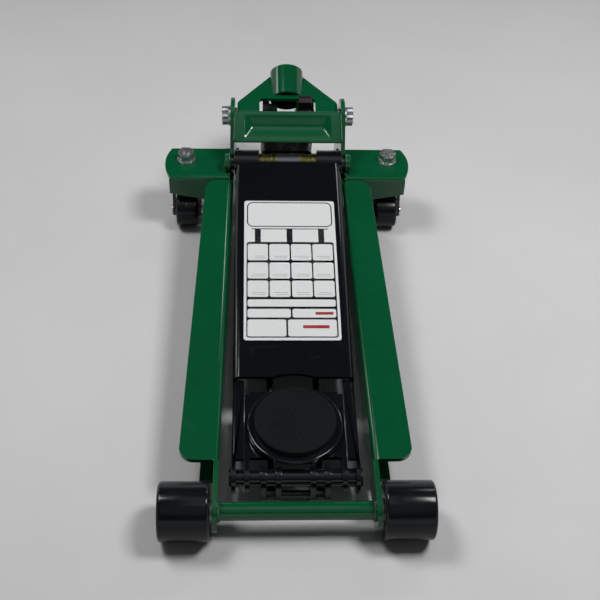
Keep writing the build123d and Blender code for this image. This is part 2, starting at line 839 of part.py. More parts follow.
def saddle_dish():
    floor_z = bracket_floor_top + seat_gap
    dish = rod_along_z(saddle_radius, floor_z, saddle_rim_top, 0, saddle_y)
    dish = chamfer(dish.edges().sort_by(Axis.Z)[0], 4)
    dish = fillet(dish.edges().sort_by(Axis.Z)[-1], 2)
    dish -= rod_along_z(pad_radius, floor_z + saddle_floor, saddle_rim_top + 1, 0, saddle_y)
    return dish + rod_along_z(stem_radius, stem_bottom, floor_z + 1, 0, saddle_y)


def saddle_pad():
    low = bracket_floor_top + seat_gap + saddle_floor
    pad = rod_along_z(pad_radius, low, lowest_height, 0, saddle_y)
    return fillet(pad.edges().sort_by(Axis.Z)[-1], pad_edge_radius)


def saddle_clip():
    top = bracket_floor_top - bracket_floor_thickness - seat_gap
    return tube_along_z(stem_radius + clip_width, stem_radius, top - clip_thickness, top, 0, saddle_y)


def caster_stems():
    race_bottom = wing_top - wing_thickness - race_thickness
    fork_top_z = race_bottom - 2 * ball_radius - seat_gap
    head_top = fork_top_z - fork_plate - seat_gap
    nut_top = wing_top + caster_washer_thickness + caster_nut_height
    stem = rod_along_z(caster_stem_radius, head_top - 1, nut_top + 3, stem_x, stem_y)
    head = rod_along_z(stem_head_radius, head_top - stem_head_thickness, head_top, stem_x, stem_y)
    return both_sides(stem + head)


def caster_nuts():
    washer_top = wing_top + caster_washer_thickness
    washer = tube_along_z(caster_washer_radius, caster_stem_radius, wing_top, washer_top, stem_x, stem_y)
    nut = hexagon_along_z(caster_nut_flats, washer_top, washer_top + caster_nut_height, stem_x, stem_y)
    nut &= Pos(stem_x, stem_y, washer_top) * Cone(
        caster_nut_flats / 2 + 12, caster_nut_flats / 2, caster_nut_height + 1.5,
        align=(Align.CENTER, Align.CENTER, Align.MIN)
    )
    nut -= rod_along_z(caster_stem_radius, 0, reach, stem_x, stem_y)
    return both_sides(washer) + both_sides(nut)


def caster_races():
    top = wing_top - wing_thickness
    return both_sides(tube_along_z(
        race_radius, caster_stem_radius, top - race_thickness, top, stem_x, stem_y
    ))


def caster_balls():
    race_bottom = wing_top - wing_thickness - race_thickness
    height = race_bottom - ball_radius
    balls = None
    for index in range(ball_count):
        angle = radians(360 * index / ball_count)
        spot = (stem_x + ball_circle_radius * cos(angle), stem_y + ball_circle_radius * sin(angle), height)
        ball = Pos(*spot) * Sphere(ball_radius)
        balls = ball if balls is None else balls + ball
    return both_sides(balls)


def right_caster_fork():
    race_bottom = wing_top - wing_thickness - race_thickness
    top = race_bottom - 2 * ball_radius - seat_gap
    axle_y = stem_y - caster_trail
    leg_inner = caster_width / 2 + caster_side_gap
    crown = rod_along_z(fork_top_radius, top - fork_plate, top, stem_x, stem_y)
    leg = strut_plate(
        stem_x + leg_inner, stem_x + leg_inner + fork_plate,
        (axle_y, caster_radius, fork_front_radius),
        (stem_y - fork_top_radius + 6, top - 4, 4), (stem_y + fork_top_radius - 10, top - 4, 4)
    )
    legs = leg + mirror(leg, about=Plane.YZ.offset(stem_x))
    fork = crown + legs
    fork -= rod_along_z(caster_stem_radius + running_clearance, 0, reach, stem_x, stem_y)
    return fork - rod_along_x(caster_axle_radius, 0, reach, axle_y, caster_radius)


def right_caster_axle():
    axle_y = stem_y - caster_trail
    leg_outer = caster_width / 2 + caster_side_gap + fork_plate
    head = 2.0
    shank = rod_along_x(
        caster_axle_radius, stem_x - leg_outer - head, stem_x + leg_outer + head, axle_y, caster_radius
    )
    outer_head = rod_along_x(
        caster_axle_radius + 3, stem_x + leg_outer, stem_x + leg_outer + head, axle_y, caster_radius
    )
    return shank + outer_head + mirror(outer_head, about=Plane.YZ.offset(stem_x))


def right_caster_wheel():
    axle_y = stem_y - caster_trail
    half = caster_width / 2
    wheel = rod_along_x(caster_radius, stem_x - half, stem_x + half, axle_y, caster_radius)
    wheel = fillet(wheel.edges(), caster_edge_radius)
    hub = half + caster_side_gap - seat_gap
    wheel += rod_along_x(caster_axle_radius + 5, stem_x - hub, stem_x + hub, axle_y, caster_radius)
    bore = caster_axle_radius + running_clearance
    return wheel - rod_along_x(bore, 0, reach, axle_y, caster_radius)


def ram_rod():
    rod = rod_along_y(ram_radius, ram_front_y, ram_front_y + ram_length, 0, ram_z)
    return chamfer(rod.edges().sort_by(Axis.Y)[0], ram_edge)


def pump_block():
    body = block(
        -block_half_width, block_half_width, block_front_y, block_rear_y, block_bottom, block_top
    )
    body = fillet(body.edges().filter_by(Axis.Y), block_edge_radius)
    body += rod_along_z(pump_boss_radius, block_top - 20, pump_boss_top, plunger_x, plunger_y)
    body += rod_along_z(valve_stem_radius + 6, block_top - 5, block_top + 8, 0, valve_y)
    body -= rod_along_y(ram_radius + running_clearance, 0, reach, 0, ram_z)
    body -= rod_along_z(
        plunger_radius + running_clearance, plunger_bottom - 2, reach, plunger_x, plunger_y
    )
    body -= rod_along_z(
        valve_stem_radius + running_clearance, block_top - valve_depth + 8, reach, 0, valve_y
    )
    for side in (-1, 1):
        low = min(side * (block_half_width - trunnion_depth), side * reach)
        high = max(side * (block_half_width - trunnion_depth), side * reach)
        body -= rod_along_x(trunnion_radius, low, high, trunnion_y, trunnion_z)
    return body + valve_housing()


def valve_housing():
    # The raised housing that shows through the yoke's window, beside the handle socket.
    low = block_top + seat_gap
    front = block(-housing_outer_x, -housing_inner_x, housing_front_y, housing_step_y, low, housing_top)
    rear = block(-housing_outer_x, -housing_rear_x, housing_front_y, housing_rear_y, low, housing_top)
    housing = front + rear
    return fillet(housing.edges().filter_by(Axis.Z), housing_edge_radius)


def gland_nut():
    nut = rod_along_y(gland_radius, block_front_y - gland_length, block_front_y, 0, ram_z)
    nut = chamfer(nut.edges().sort_by(Axis.Y)[0], 2)
    flats = block(-gland_radius + 3, gland_radius - 3, 0, reach, 0, reach)
    return (nut & flats) - rod_along_y(ram_radius + running_clearance, 0, reach, 0, ram_z)


def cylinder_tube():
    outer = ram_radius + cylinder_wall
    tube = rod_along_y(outer, block_rear_y, cylinder_rear_y, 0, ram_z)
    return tube - rod_along_y(
        ram_radius + running_clearance, block_rear_y, cylinder_rear_y - cylinder_wall, 0, ram_z
    )


def oil_tank():
    shell = rod_along_y(tank_radius, block_rear_y, tank_rear_y, 0, tank_z)
    shell = fillet(shell.edges().sort_by(Axis.Y)[-1], tank_edge_radius)
    shell -= rod_along_y(tank_radius - tank_wall, block_rear_y, tank_rear_y - tank_wall, 0, tank_z)
    plug_y = (block_rear_y + tank_rear_y) / 2
    return shell - rod_along_z(plug_radius - 2, tank_z, reach, 0, plug_y)


def filler_plug():
    plug_y = (block_rear_y + tank_rear_y) / 2
    top = tank_z + tank_radius
    stem = rod_along_z(plug_radius - 2, top - 6, top + 1, 0, plug_y)
    return stem + rod_along_z(plug_radius, top + seat_gap / 2, top + plug_height, 0, plug_y)


def trunnion_pins():
    end = web_outer(trunnion_y) + trunnion_nut_thickness + 4
    return both_sides(rod_along_x(
        trunnion_radius, block_half_width - trunnion_depth, end, trunnion_y, trunnion_z
    ))


def trunnion_nuts():
    start = web_outer(trunnion_y - trunnion_nut_flats / 2 / cos(radians(30)))
    nut = hexagon_along_x(
        trunnion_nut_flats, start, start + trunnion_nut_thickness, trunnion_y, trunnion_z
    )
    return both_sides(nut - rod_along_x(trunnion_radius, 0, reach, trunnion_y, trunnion_z))


def pump_plunger():
    cap_bottom = pump_roller_z - pump_roller_radius - pump_gap - plunger_cap_thickness
    rod = rod_along_z(plunger_radius, plunger_bottom, cap_bottom, plunger_x, plunger_y)
    cap = rod_along_z(
        plunger_cap_radius, cap_bottom, cap_bottom + plunger_cap_thickness, plunger_x, plunger_y
    )
    return rod + fillet(cap.edges().sort_by(Axis.Z)[-1], 2)


def coil_spring(mean_radius, wire_radius, turns, length):
    pitch = length / turns
    path = Helix(pitch=pitch, height=length, radius=mean_radius)
    start = Plane(origin=path @ 0, z_dir=path % 0)
    return sweep(start * Circle(wire_radius), path=path, is_frenet=True)


def plunger_spring():
    cap_bottom = pump_roller_z - pump_roller_radius - pump_gap - plunger_cap_thickness
    low = pump_boss_top + spring_wire_radius + seat_gap / 2
    high = cap_bottom - spring_wire_radius - seat_gap / 2
    spring = coil_spring(spring_mean_radius, spring_wire_radius, spring_turns, high - low)
    return Pos(plunger_x, plunger_y, low) * spring


def release_valve():
    bottom = block_top - valve_depth + 8 + seat_gap
    stem = rod_along_z(valve_stem_radius, bottom, valve_fork_bottom + 1, 0, valve_y)
    head = rod_along_z(valve_fork_radius, valve_fork_bottom, valve_fork_top, 0, valve_y)
    slot_floor = valve_fork_bottom + 9
    slot = block(
        -valve_slot / 2, valve_slot / 2, valve_y - 30, valve_y + 30, slot_floor, valve_fork_top + 1
    )
    return stem + chamfer(head.edges().sort_by(Axis.Z)[-1], 1.5) - slot


def socket_frame():
    # Local Z runs along the socket, out of its mouth.
    return Plane(
        origin=(0, socket_rim_y, socket_rim_z), x_dir=(1, 0, 0),
        z_dir=(0, cos(socket_tilt), sin(socket_tilt))
    )


def handle_socket():
    tube = Cylinder(socket_radius, socket_length, align=(Align.CENTER, Align.CENTER, Align.MAX))
    tube = chamfer(tube.edges().sort_by(Axis.Z)[-1], 1)
    bore = Cylinder(
        socket_radius - socket_wall, 3 * socket_length, align=(Align.CENTER, Align.CENTER, Align.CENTER)
    )
    place = socket_frame()
    tube = place * (tube - bore)
    screw = place * Pos(0, 0, -set_screw_place) * Rot(-90, 0, 0) * Cylinder(
        set_screw_radius, 60, align=(Align.CENTER, Align.CENTER, Align.MIN)
    )
    return tube - screw


def set_screw_place_plane():
    # Local Z points out of the socket's underside, square to its axis.
    down = (0, sin(socket_tilt), -cos(socket_tilt))
    along = (0, cos(socket_tilt), sin(socket_tilt))
    centre_y = socket_rim_y - set_screw_place * cos(socket_tilt)
    centre_z = socket_rim_z - set_screw_place * sin(socket_tilt)
    return Plane(origin=(0, centre_y, centre_z), x_dir=along, z_dir=down)


def set_screw_nut():
    boss = Pos(0, 0, socket_radius - 3) * Cylinder(
        set_screw_boss_radius, set_screw_boss_height, align=(Align.CENTER, Align.CENTER, Align.MIN)
    )
    boss -= Cylinder(set_screw_radius, 4 * socket_length)
    solid = set_screw_place_plane() * boss
    outer = socket_frame() * Cylinder(socket_radius, 4 * socket_length)
    return solid - outer


def set_screw():
    top = socket_radius - 3 + set_screw_boss_height
    low = socket_radius - socket_wall + 0.5
    shank = Pos(0, 0, low) * Cylinder(
        set_screw_radius, top + set_screw_head - low, align=(Align.CENTER, Align.CENTER, Align.MIN)
    )
    head = extrude(
        Plane.XY.offset(top + seat_gap) * RegularPolygon(set_screw_flats / 2, 6, major_radius=False),
        amount=set_screw_head
    )
    return set_screw_place_plane() * (shank + head)


def handle_yoke():
    # A flat plate that narrows to the socket, with cheeks bent down to the pivots.
    half = yoke_half_width
    narrow = socket_radius + 0.5
    plan = make_face(Polyline(
        (-half, yoke_front_y), (-yoke_window_half_width, yoke_front_y),
        (-yoke_window_half_width, yoke_window_y), (yoke_window_half_width, yoke_window_y),
        (yoke_window_half_width, yoke_front_y), (half, yoke_front_y), (half, yoke_shoulder_y),
        (narrow, yoke_plate_rear_y), (-narrow, yoke_plate_rear_y), (-half, yoke_shoulder_y), close=True
    ))
    shoulders = [v for v in plan.vertices() if abs(v.Y - yoke_shoulder_y) < 0.1]
    plan = fillet(shoulders, 16)
    window = [
        v for v in plan.vertices()
        if abs(v.Y - yoke_window_y) < 0.1 and abs(abs(v.X) - yoke_window_half_width) < 0.1
    ]
    plan = fillet(window, 5)
    low = yoke_plate_top - yoke_plate_thickness
    plate = extrude(Plane.XY.offset(low) * plan, amount=yoke_plate_thickness)
    plate -= socket_frame() * Cylinder(socket_radius, 2 * socket_length)
    cheek = strut_plate(
        half - yoke_plate_thickness, half, (yoke_pivot_y, yoke_pivot_z, yoke_cheek_radius),
        (yoke_front_y + 4, yoke_plate_top - 4, 4), (yoke_shoulder_y - 10, yoke_plate_top - 6, 6)
    )
    cheek &= block(0, half, 0, reach, 0, yoke_plate_top)
    lug_centre = (pump_roller_y, pump_roller_z, roller_lug_radius)
    lug_root = (pump_roller_y + roller_lug_lean, low, roller_lug_root_radius)
    inner = plunger_x - pump_roller_half_width - side_gap
    outer = plunger_x + pump_roller_half_width + side_gap
    lugs = strut_plate(inner - roller_lug_thickness, inner, lug_centre, lug_root)
    lugs += strut_plate(outer, outer + roller_lug_thickness, lug_centre, lug_root)
    lugs &= block(0, reach, 0, reach, 0, low + 1)
    lugs -= rod_along_x(roller_pin_radius, 0, reach, pump_roller_y, pump_roller_z)
    yoke = plate + both_sides(cheek) + lugs
    bore = yoke_bolt_radius + running_clearance
    low = yoke_bolt_inner_x - seat_gap
    return yoke - both_sides(rod_along_x(bore, low, reach, yoke_pivot_y, yoke_pivot_z))


def pump_roller():
    low = plunger_x - pump_roller_half_width
    high = plunger_x + pump_roller_half_width
    roller = rod_along_x(pump_roller_radius, low, high, pump_roller_y, pump_roller_z)
    roller = chamfer(roller.edges(), 1)
    bore = roller_pin_radius + running_clearance
    return roller - rod_along_x(bore, 0, reach, pump_roller_y, pump_roller_z)


def pump_roller_pin():
    half = pump_roller_half_width + side_gap + roller_lug_thickness + 1.5
    return rod_along_x(
        roller_pin_radius, plunger_x - half, plunger_x + half, pump_roller_y, pump_roller_z
    )


def yoke_bolts():
    outer = web_outer(yoke_pivot_y - yoke_washer_radius)
    head_start = outer + yoke_washer_thickness
    shank = rod_along_x(yoke_bolt_radius, yoke_bolt_inner_x, head_start + 1, yoke_pivot_y, yoke_pivot_z)
    head = hexagon_along_x(
        yoke_bolt_flats, head_start, head_start + yoke_bolt_head, yoke_pivot_y, yoke_pivot_z
    )
    washer = tube_along_x(
        yoke_washer_radius, yoke_bolt_radius, outer, head_start, yoke_pivot_y, yoke_pivot_z
    )
    inner_washer = tube_along_x(
        yoke_washer_radius - 2, yoke_bolt_radius, yoke_half_width + seat_gap,
        web_inner(yoke_pivot_y + yoke_washer_radius), yoke_pivot_y, yoke_pivot_z
    )
    return both_sides(shank + head) + both_sides(washer) + both_sides(inner_washer)


def straight_wire(start, finish, radius):
    along = finish - start
    wire = Cylinder(radius, along.length, align=(Align.CENTER, Align.CENTER, Align.MIN))
    return Plane(origin=start, z_dir=along) * wire


def right_return_spring():
    # The hooks are rings round the lever pin and the trunnion pin.
    dy = trunnion_y - lever_pin_y
    dz = trunnion_z - lever_pin_z
    span = hypot(dy, dz)
    body = span - return_body_start - return_body_end
    coil = coil_spring(return_mean_radius, return_wire_radius, return_turns, body)
    front_ring = lever_pin_radius + hook_clearance + return_wire_radius
    rear_ring = trunnion_radius + hook_clearance + return_wire_radius
    end_angle = radians(360 * (return_turns % 1))
    end_x = return_mean_radius * cos(end_angle)
    end_y = return_mean_radius * sin(end_angle)
    spring = Pos(0, 0, return_body_start) * coil
    spring += straight_wire(
        Vector(0, 0, front_ring), Vector(return_mean_radius, 0, return_body_start), return_wire_radius
    )
    spring += straight_wire(
        Vector(end_x, end_y, return_body_start + body), Vector(0, 0, span - rear_ring), return_wire_radius
    )
    spring += Rot(0, 90, 0) * Torus(front_ring, return_wire_radius)
    spring += Pos(0, 0, span) * Rot(0, 90, 0) * Torus(rear_ring, return_wire_radius)
    place = Plane(origin=(return_spring_x, lever_pin_y, lever_pin_z), x_dir=(1, 0, 0), z_dir=(0, dy, dz))
    return place * spring


def save(name, shape):
    export_step(Pos(0, -middle_y, 0) * shape, "parts/" + name + ".step")


def save_pair(name, right_shape):
    save(name + "_right", right_shape)
    save(name + "_left", mirror(right_shape, about=Plane.YZ))


def main():
    os.makedirs("parts", exist_ok=True)
    save_pair("side_plate", right_side_plate())
    save("front_axle", front_axle())
    save("front_cross_tube", front_cross_tube())
    save("front_axle_retainers", front_axle_retainers())
    save_pair("front_roller", right_roller())
    save_pair("front_roller_bush", right_roller_bush())
    save_pair("caster_wing", right_wing())
    save("rear_cross_panel", rear_cross_panel())
    save("arm_shaft", arm_shaft())
    save("arm_shaft_caps", arm_shaft_caps())
    save("rod_anchors", rod_anchors())
    save("shaft_sleeve", shaft_sleeve())
    save("anchor_pin", anchor_pin())
    save("lift_arm_channel", lift_arm_channel())
    save("arm_hinge_tubes", arm_hinge_tubes())
    save("arm_levers", arm_levers())
    save("lever_pin", lever_pin())
    save("lever_roller", lever_roller())
    save("arm_cross_tubes", arm_cross_tubes())
    save("label_plate", label_plate())
    save("front_pin", front_pin())
    save("arm_spacers", front_pin_spacers() + lever_spacers())
    save("saddle_bracket", saddle_bracket())
    save("bracket_tube", bracket_tube())
    save("level_pin", level_pin())
    save_pair("level_rod", right_level_rod())
    save("saddle_dish", saddle_dish())
    save("saddle_pad", saddle_pad())
    save("saddle_clip", saddle_clip())
    save("caster_stem_bolts", caster_stems() + caster_nuts())
    save("caster_races", caster_races())
    save("caster_balls", caster_balls())
    save_pair("caster_fork", right_caster_fork())
    save_pair("caster_axle", right_caster_axle())
    save_pair("caster_wheel", right_caster_wheel())
    save("ram_rod", ram_rod())
    save("pump_block", pump_block())
    save("gland_nut", gland_nut())
    save("cylinder_tube", cylinder_tube())
    save("oil_tank", oil_tank())
    save("filler_plug", filler_plug())
    save("trunnion_bolts", trunnion_pins() + trunnion_nuts())
    save("pump_plunger", pump_plunger())
    save("plunger_spring", plunger_spring())
    save("release_valve", release_valve())
    save("handle_yoke", handle_yoke())
    save("handle_socket", handle_socket() + set_screw_nut())
    save("set_screw", set_screw())
    save("pump_roller", pump_roller())
    save("pump_roller_pin", pump_roller_pin())
    save("yoke_bolts", yoke_bolts())
    save("return_springs", both_sides(right_return_spring()))


main()
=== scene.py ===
"""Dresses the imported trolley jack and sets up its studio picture.

Lengths in the classes are millimetres, measured as the jack's drawing measures them: X points right,
Y runs back from the front axle and Z is the height over the floor. The helper spot() turns them into
the row frame's metres.
"""

from __future__ import annotations

import json
import logging
import math
import random
from dataclasses import dataclass
from enum import Enum
from typing import Callable, ClassVar, Sequence

import bmesh
import bpy
from mathutils import Matrix, Vector

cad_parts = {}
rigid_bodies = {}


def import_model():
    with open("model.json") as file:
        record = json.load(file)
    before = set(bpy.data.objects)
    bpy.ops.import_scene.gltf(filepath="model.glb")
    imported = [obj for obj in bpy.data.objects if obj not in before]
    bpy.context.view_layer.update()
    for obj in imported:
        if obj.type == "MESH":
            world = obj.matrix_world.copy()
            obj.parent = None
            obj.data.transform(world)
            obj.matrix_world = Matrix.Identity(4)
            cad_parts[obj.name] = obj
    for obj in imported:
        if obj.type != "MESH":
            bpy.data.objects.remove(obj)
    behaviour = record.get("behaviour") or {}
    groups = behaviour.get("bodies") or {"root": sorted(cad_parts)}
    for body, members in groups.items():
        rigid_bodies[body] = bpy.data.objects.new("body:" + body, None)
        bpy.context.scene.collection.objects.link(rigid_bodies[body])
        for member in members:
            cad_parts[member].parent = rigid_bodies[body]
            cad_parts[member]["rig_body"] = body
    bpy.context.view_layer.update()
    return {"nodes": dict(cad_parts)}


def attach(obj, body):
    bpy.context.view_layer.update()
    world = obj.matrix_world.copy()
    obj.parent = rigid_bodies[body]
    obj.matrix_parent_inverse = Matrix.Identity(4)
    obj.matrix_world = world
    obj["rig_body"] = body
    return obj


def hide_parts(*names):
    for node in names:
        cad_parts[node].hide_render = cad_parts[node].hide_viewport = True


LOG = logging.getLogger("jack")
MIDDLE_Y = 343.2296  # the row frame's middle on the drawing
HINGE = (562.0, 108.0)  # the arm's shaft, in Y and Z
FRONT_PIN = (44.0, 40.0)  # the pin at the arm's front end, in Y and Z
WING_TOP = 97.0  # the upper faces of the caster wings
TOE_IN = math.atan2(15.0, 622.0)  # how much each side plate leans in towards the rear
SIDES = ((-1, "left"), (1, "right"))

Pair = tuple[float, float]
Triple = tuple[float, float, float]
Colour = tuple[float, float, float, float]
Box = tuple[float, float, float, float]
Faces = list[Sequence[int]]
Piece = bpy.types.Object
Tree = bpy.types.NodeTree
Node = bpy.types.Node
Socket = bpy.types.NodeSocket
Sockets = bpy.types.bpy_prop_collection


def spot(x: float, y: float, z: float) -> Vector:
    """Turns the drawing's millimetres into the row frame's metres."""
    return Vector((x, y - MIDDLE_Y, z)) / 1000.0


def tint(red: int, green: int, blue: int) -> Colour:
    """Turns a display colour into the linear colour that shaders take.

    Args:
        red: The red level, from 0 to 255.
        green: The green level.
        blue: The blue level.

    Returns:
        The linear colour, opaque.
    """
    channels = []
    for level in (red, green, blue):
        share = level / 255.0
        channels.append(share / 12.92 if share <= 0.04045 else ((share + 0.055) / 1.055) ** 2.4)
    return (channels[0], channels[1], channels[2], 1.0)


def smooth_step(low: float, high: float, value: float) -> float:
    """Rises gently from 0 at low to 1 at high."""
    share = min(1.0, max(0.0, (value - low) / (high - low)))
    return share * share * (3.0 - 2.0 * share)


def bearings(steps: int) -> list[float]:
    """Even angles right round, in radians."""
    return [2 * math.pi * step / steps for step in range(steps)]


def round_points(radius: float, steps: int) -> list[Pair]:
    """Even points right round a circle."""
    return [(radius * math.cos(bearing), radius * math.sin(bearing)) for bearing in bearings(steps)]


def quarter(steps: int) -> list[Pair]:
    """The sine and the cosine of even turns from 0 to 90 degrees."""
    turns = [math.radians(90 * step / steps) for step in range(steps + 1)]
    return [(math.sin(turn), math.cos(turn)) for turn in turns]


def ring_faces(rings: int, steps: int, closed: bool = False) -> Faces:
    """Lists the faces between neighbouring rings of points.

    Args:
        rings: How many rings there are.
        steps: Points to the ring.
        closed: Whether the last ring joins the first one.

    Returns:
        Four corners for each face.
    """
    faces: Faces = []
    for ring in range(rings if closed else rings - 1):
        near, far = ring * steps, (ring + 1) % rings * steps
        for step in range(steps):
            after = (step + 1) % steps
            faces.append((near + step, near + after, far + after, far + step))
    return faces


def emptied(work: bmesh.types.BMesh, mesh: bpy.types.Mesh) -> bpy.types.Mesh:
    """Writes a work mesh into a kept one and frees it.

    Args:
        work: The work mesh.
        mesh: The kept mesh.

    Returns:
        The kept mesh.
    """
    work.to_mesh(mesh)
    work.free()
    return mesh


class Axis(Enum):
    """The direction that a turned piece or a bolt runs in."""

    X = 0
    Y = 1
    Z = 2

    @property
    def frame(self) -> Matrix:
        """A rotation that takes Z onto this axis."""
        degrees, about = {Axis.X: (90, "Y"), Axis.Y: (-90, "X"), Axis.Z: (0, "Z")}[self]
        return Matrix.Rotation(math.radians(degrees), 3, about)


class Effect(Enum):
    """The surface effects that several finishes share, each one a shader node group."""

    MOTTLE = "mottle"
    EDGE_WEAR = "edge_wear"
    DUST = "settled_dust"
    SCRATCHES = "fine_scratches"
    PEEL = "orange_peel"
    TURNING = "turning_marks"
    GRAIN = "cast_grain"


class Graph:
    """Short calls that add and link the nodes of one tree."""

    number_results = ("DOT_PRODUCT", "LENGTH", "DISTANCE")
    colour_mix_inputs = (0, 6, 7)
    colour_mix_output = 2

    def __init__(self, tree: Tree) -> None:
        """Keeps the tree that the calls work on."""
        self.tree = tree

    def add(self, kind: str, **settings: object) -> Node:
        """Adds a node.

        Args:
            kind: The node's type, without its ShaderNode prefix.
            settings: Plain properties to set on it.

        Returns:
            The new node.
        """
        node = self.tree.nodes.new("ShaderNode" + kind)
        for name, value in settings.items():
            setattr(node, name, value)
        return node

    def feed(self, socket: Socket, value: object) -> None:
        """Links a socket to another one, or sets its own value.

        Args:
            socket: The input to feed.
            value: A socket, or the value itself.
        """
        if isinstance(value, Socket):
            self.tree.links.new(value, socket)
        else:
            socket.default_value = value

    def calculate(self, operation: str, first: object, second: object) -> Socket:
        """Adds a Math node.

        Args:
            operation: The node's operation.
            first: A socket or a number.
            second: A socket or a number.

        Returns:
            The result's socket.
        """
        node = self.add("Math", operation=operation)
        self.feed(node.inputs[0], first)
        self.feed(node.inputs[1], second)
        return node.outputs[0]

    def vector(self, operation: str, first: object, second: object = (0.0, 0.0, 0.0)) -> Socket:
        """Adds a Vector Math node.

        Args:
            operation: The node's operation.
            first: A socket or three numbers.
            second: A socket or three numbers.

        Returns:
            The result's socket, a number or a vector as the operation gives it.
        """
        node = self.add("VectorMath", operation=operation)
        self.feed(node.inputs[0], first)
        self.feed(node.inputs[1], second)
        return node.outputs["Value" if operation in self.number_results else "Vector"]

    def place(self) -> Socket:
        """The place on the object, in the row frame's metres."""
        return self.add("TexCoord").outputs["Object"]

    def noise(self, place: Socket, scale: object, detail: float = 2.0, rough: float = 0.5) -> Socket:
        """Adds a Noise Texture.

        Args:
            place: The socket of the position to read.
            scale: Waves to the metre.
            detail: Octaves.
            rough: How much the finer octaves count.

        Returns:
            The noise, from 0 to 1.
        """
        node = self.add("TexNoise")
        self.feed(node.inputs["Vector"], place)
        self.feed(node.inputs["Scale"], scale)
        node.inputs["Detail"].default_value = detail
        node.inputs["Roughness"].default_value = rough
        return node.outputs[0]

    def remap(self, value: Socket, low: float, high: float, start: float = 0.0, end: float = 1.0) -> Socket:
        """Stretches a range of values onto another one.

        Args:
            value: The socket to read.
            low: The value that becomes start.
            high: The value that becomes end.
            start: The result at low.
            end: The result at high.

        Returns:
            The clamped result.
        """
        node = self.add("MapRange", clamp=True)
        for place, number in enumerate((value, low, high, start, end)):
            self.feed(node.inputs[place], number)
        return node.outputs[0]

    def blend(self, share: object, first: object, second: object) -> Socket:
        """Mixes two colours.

        Args:
            share: How much of the second colour shows.
            first: A colour or its socket.
            second: A colour or its socket.

        Returns:
            The mixed colour.
        """
        node = self.add("Mix", data_type="RGBA")
        for place, value in zip(self.colour_mix_inputs, (share, first, second)):
            self.feed(node.inputs[place], value)
        return node.outputs[self.colour_mix_output]

    def mixed(self, share: object, first: Node, second: Node) -> Socket:
        """Mixes two shaders.

        Args:
            share: How much of the second shader shows.
            first: The first shader's node.
            second: The second shader's node.

        Returns:
            The mixed shader.
        """
        node = self.add("MixShader")
        for place, value in enumerate((share, first.outputs[0], second.outputs[0])):
            self.feed(node.inputs[place], value)
        return node.outputs[0]

    def total(self, *values: object) -> Socket:
        """Adds up sockets and numbers.

        Args:
            values: The sockets and numbers.

        Returns:
            The sum's socket.
        """
        result = values[0]
        for value in values[1:]:
            result = self.calculate("ADD", result, value)
        return result

    def scaled(self, value: object, factor: object) -> Socket:
        """Multiplies a socket by a number or another socket."""
        return self.calculate("MULTIPLY", value, factor)


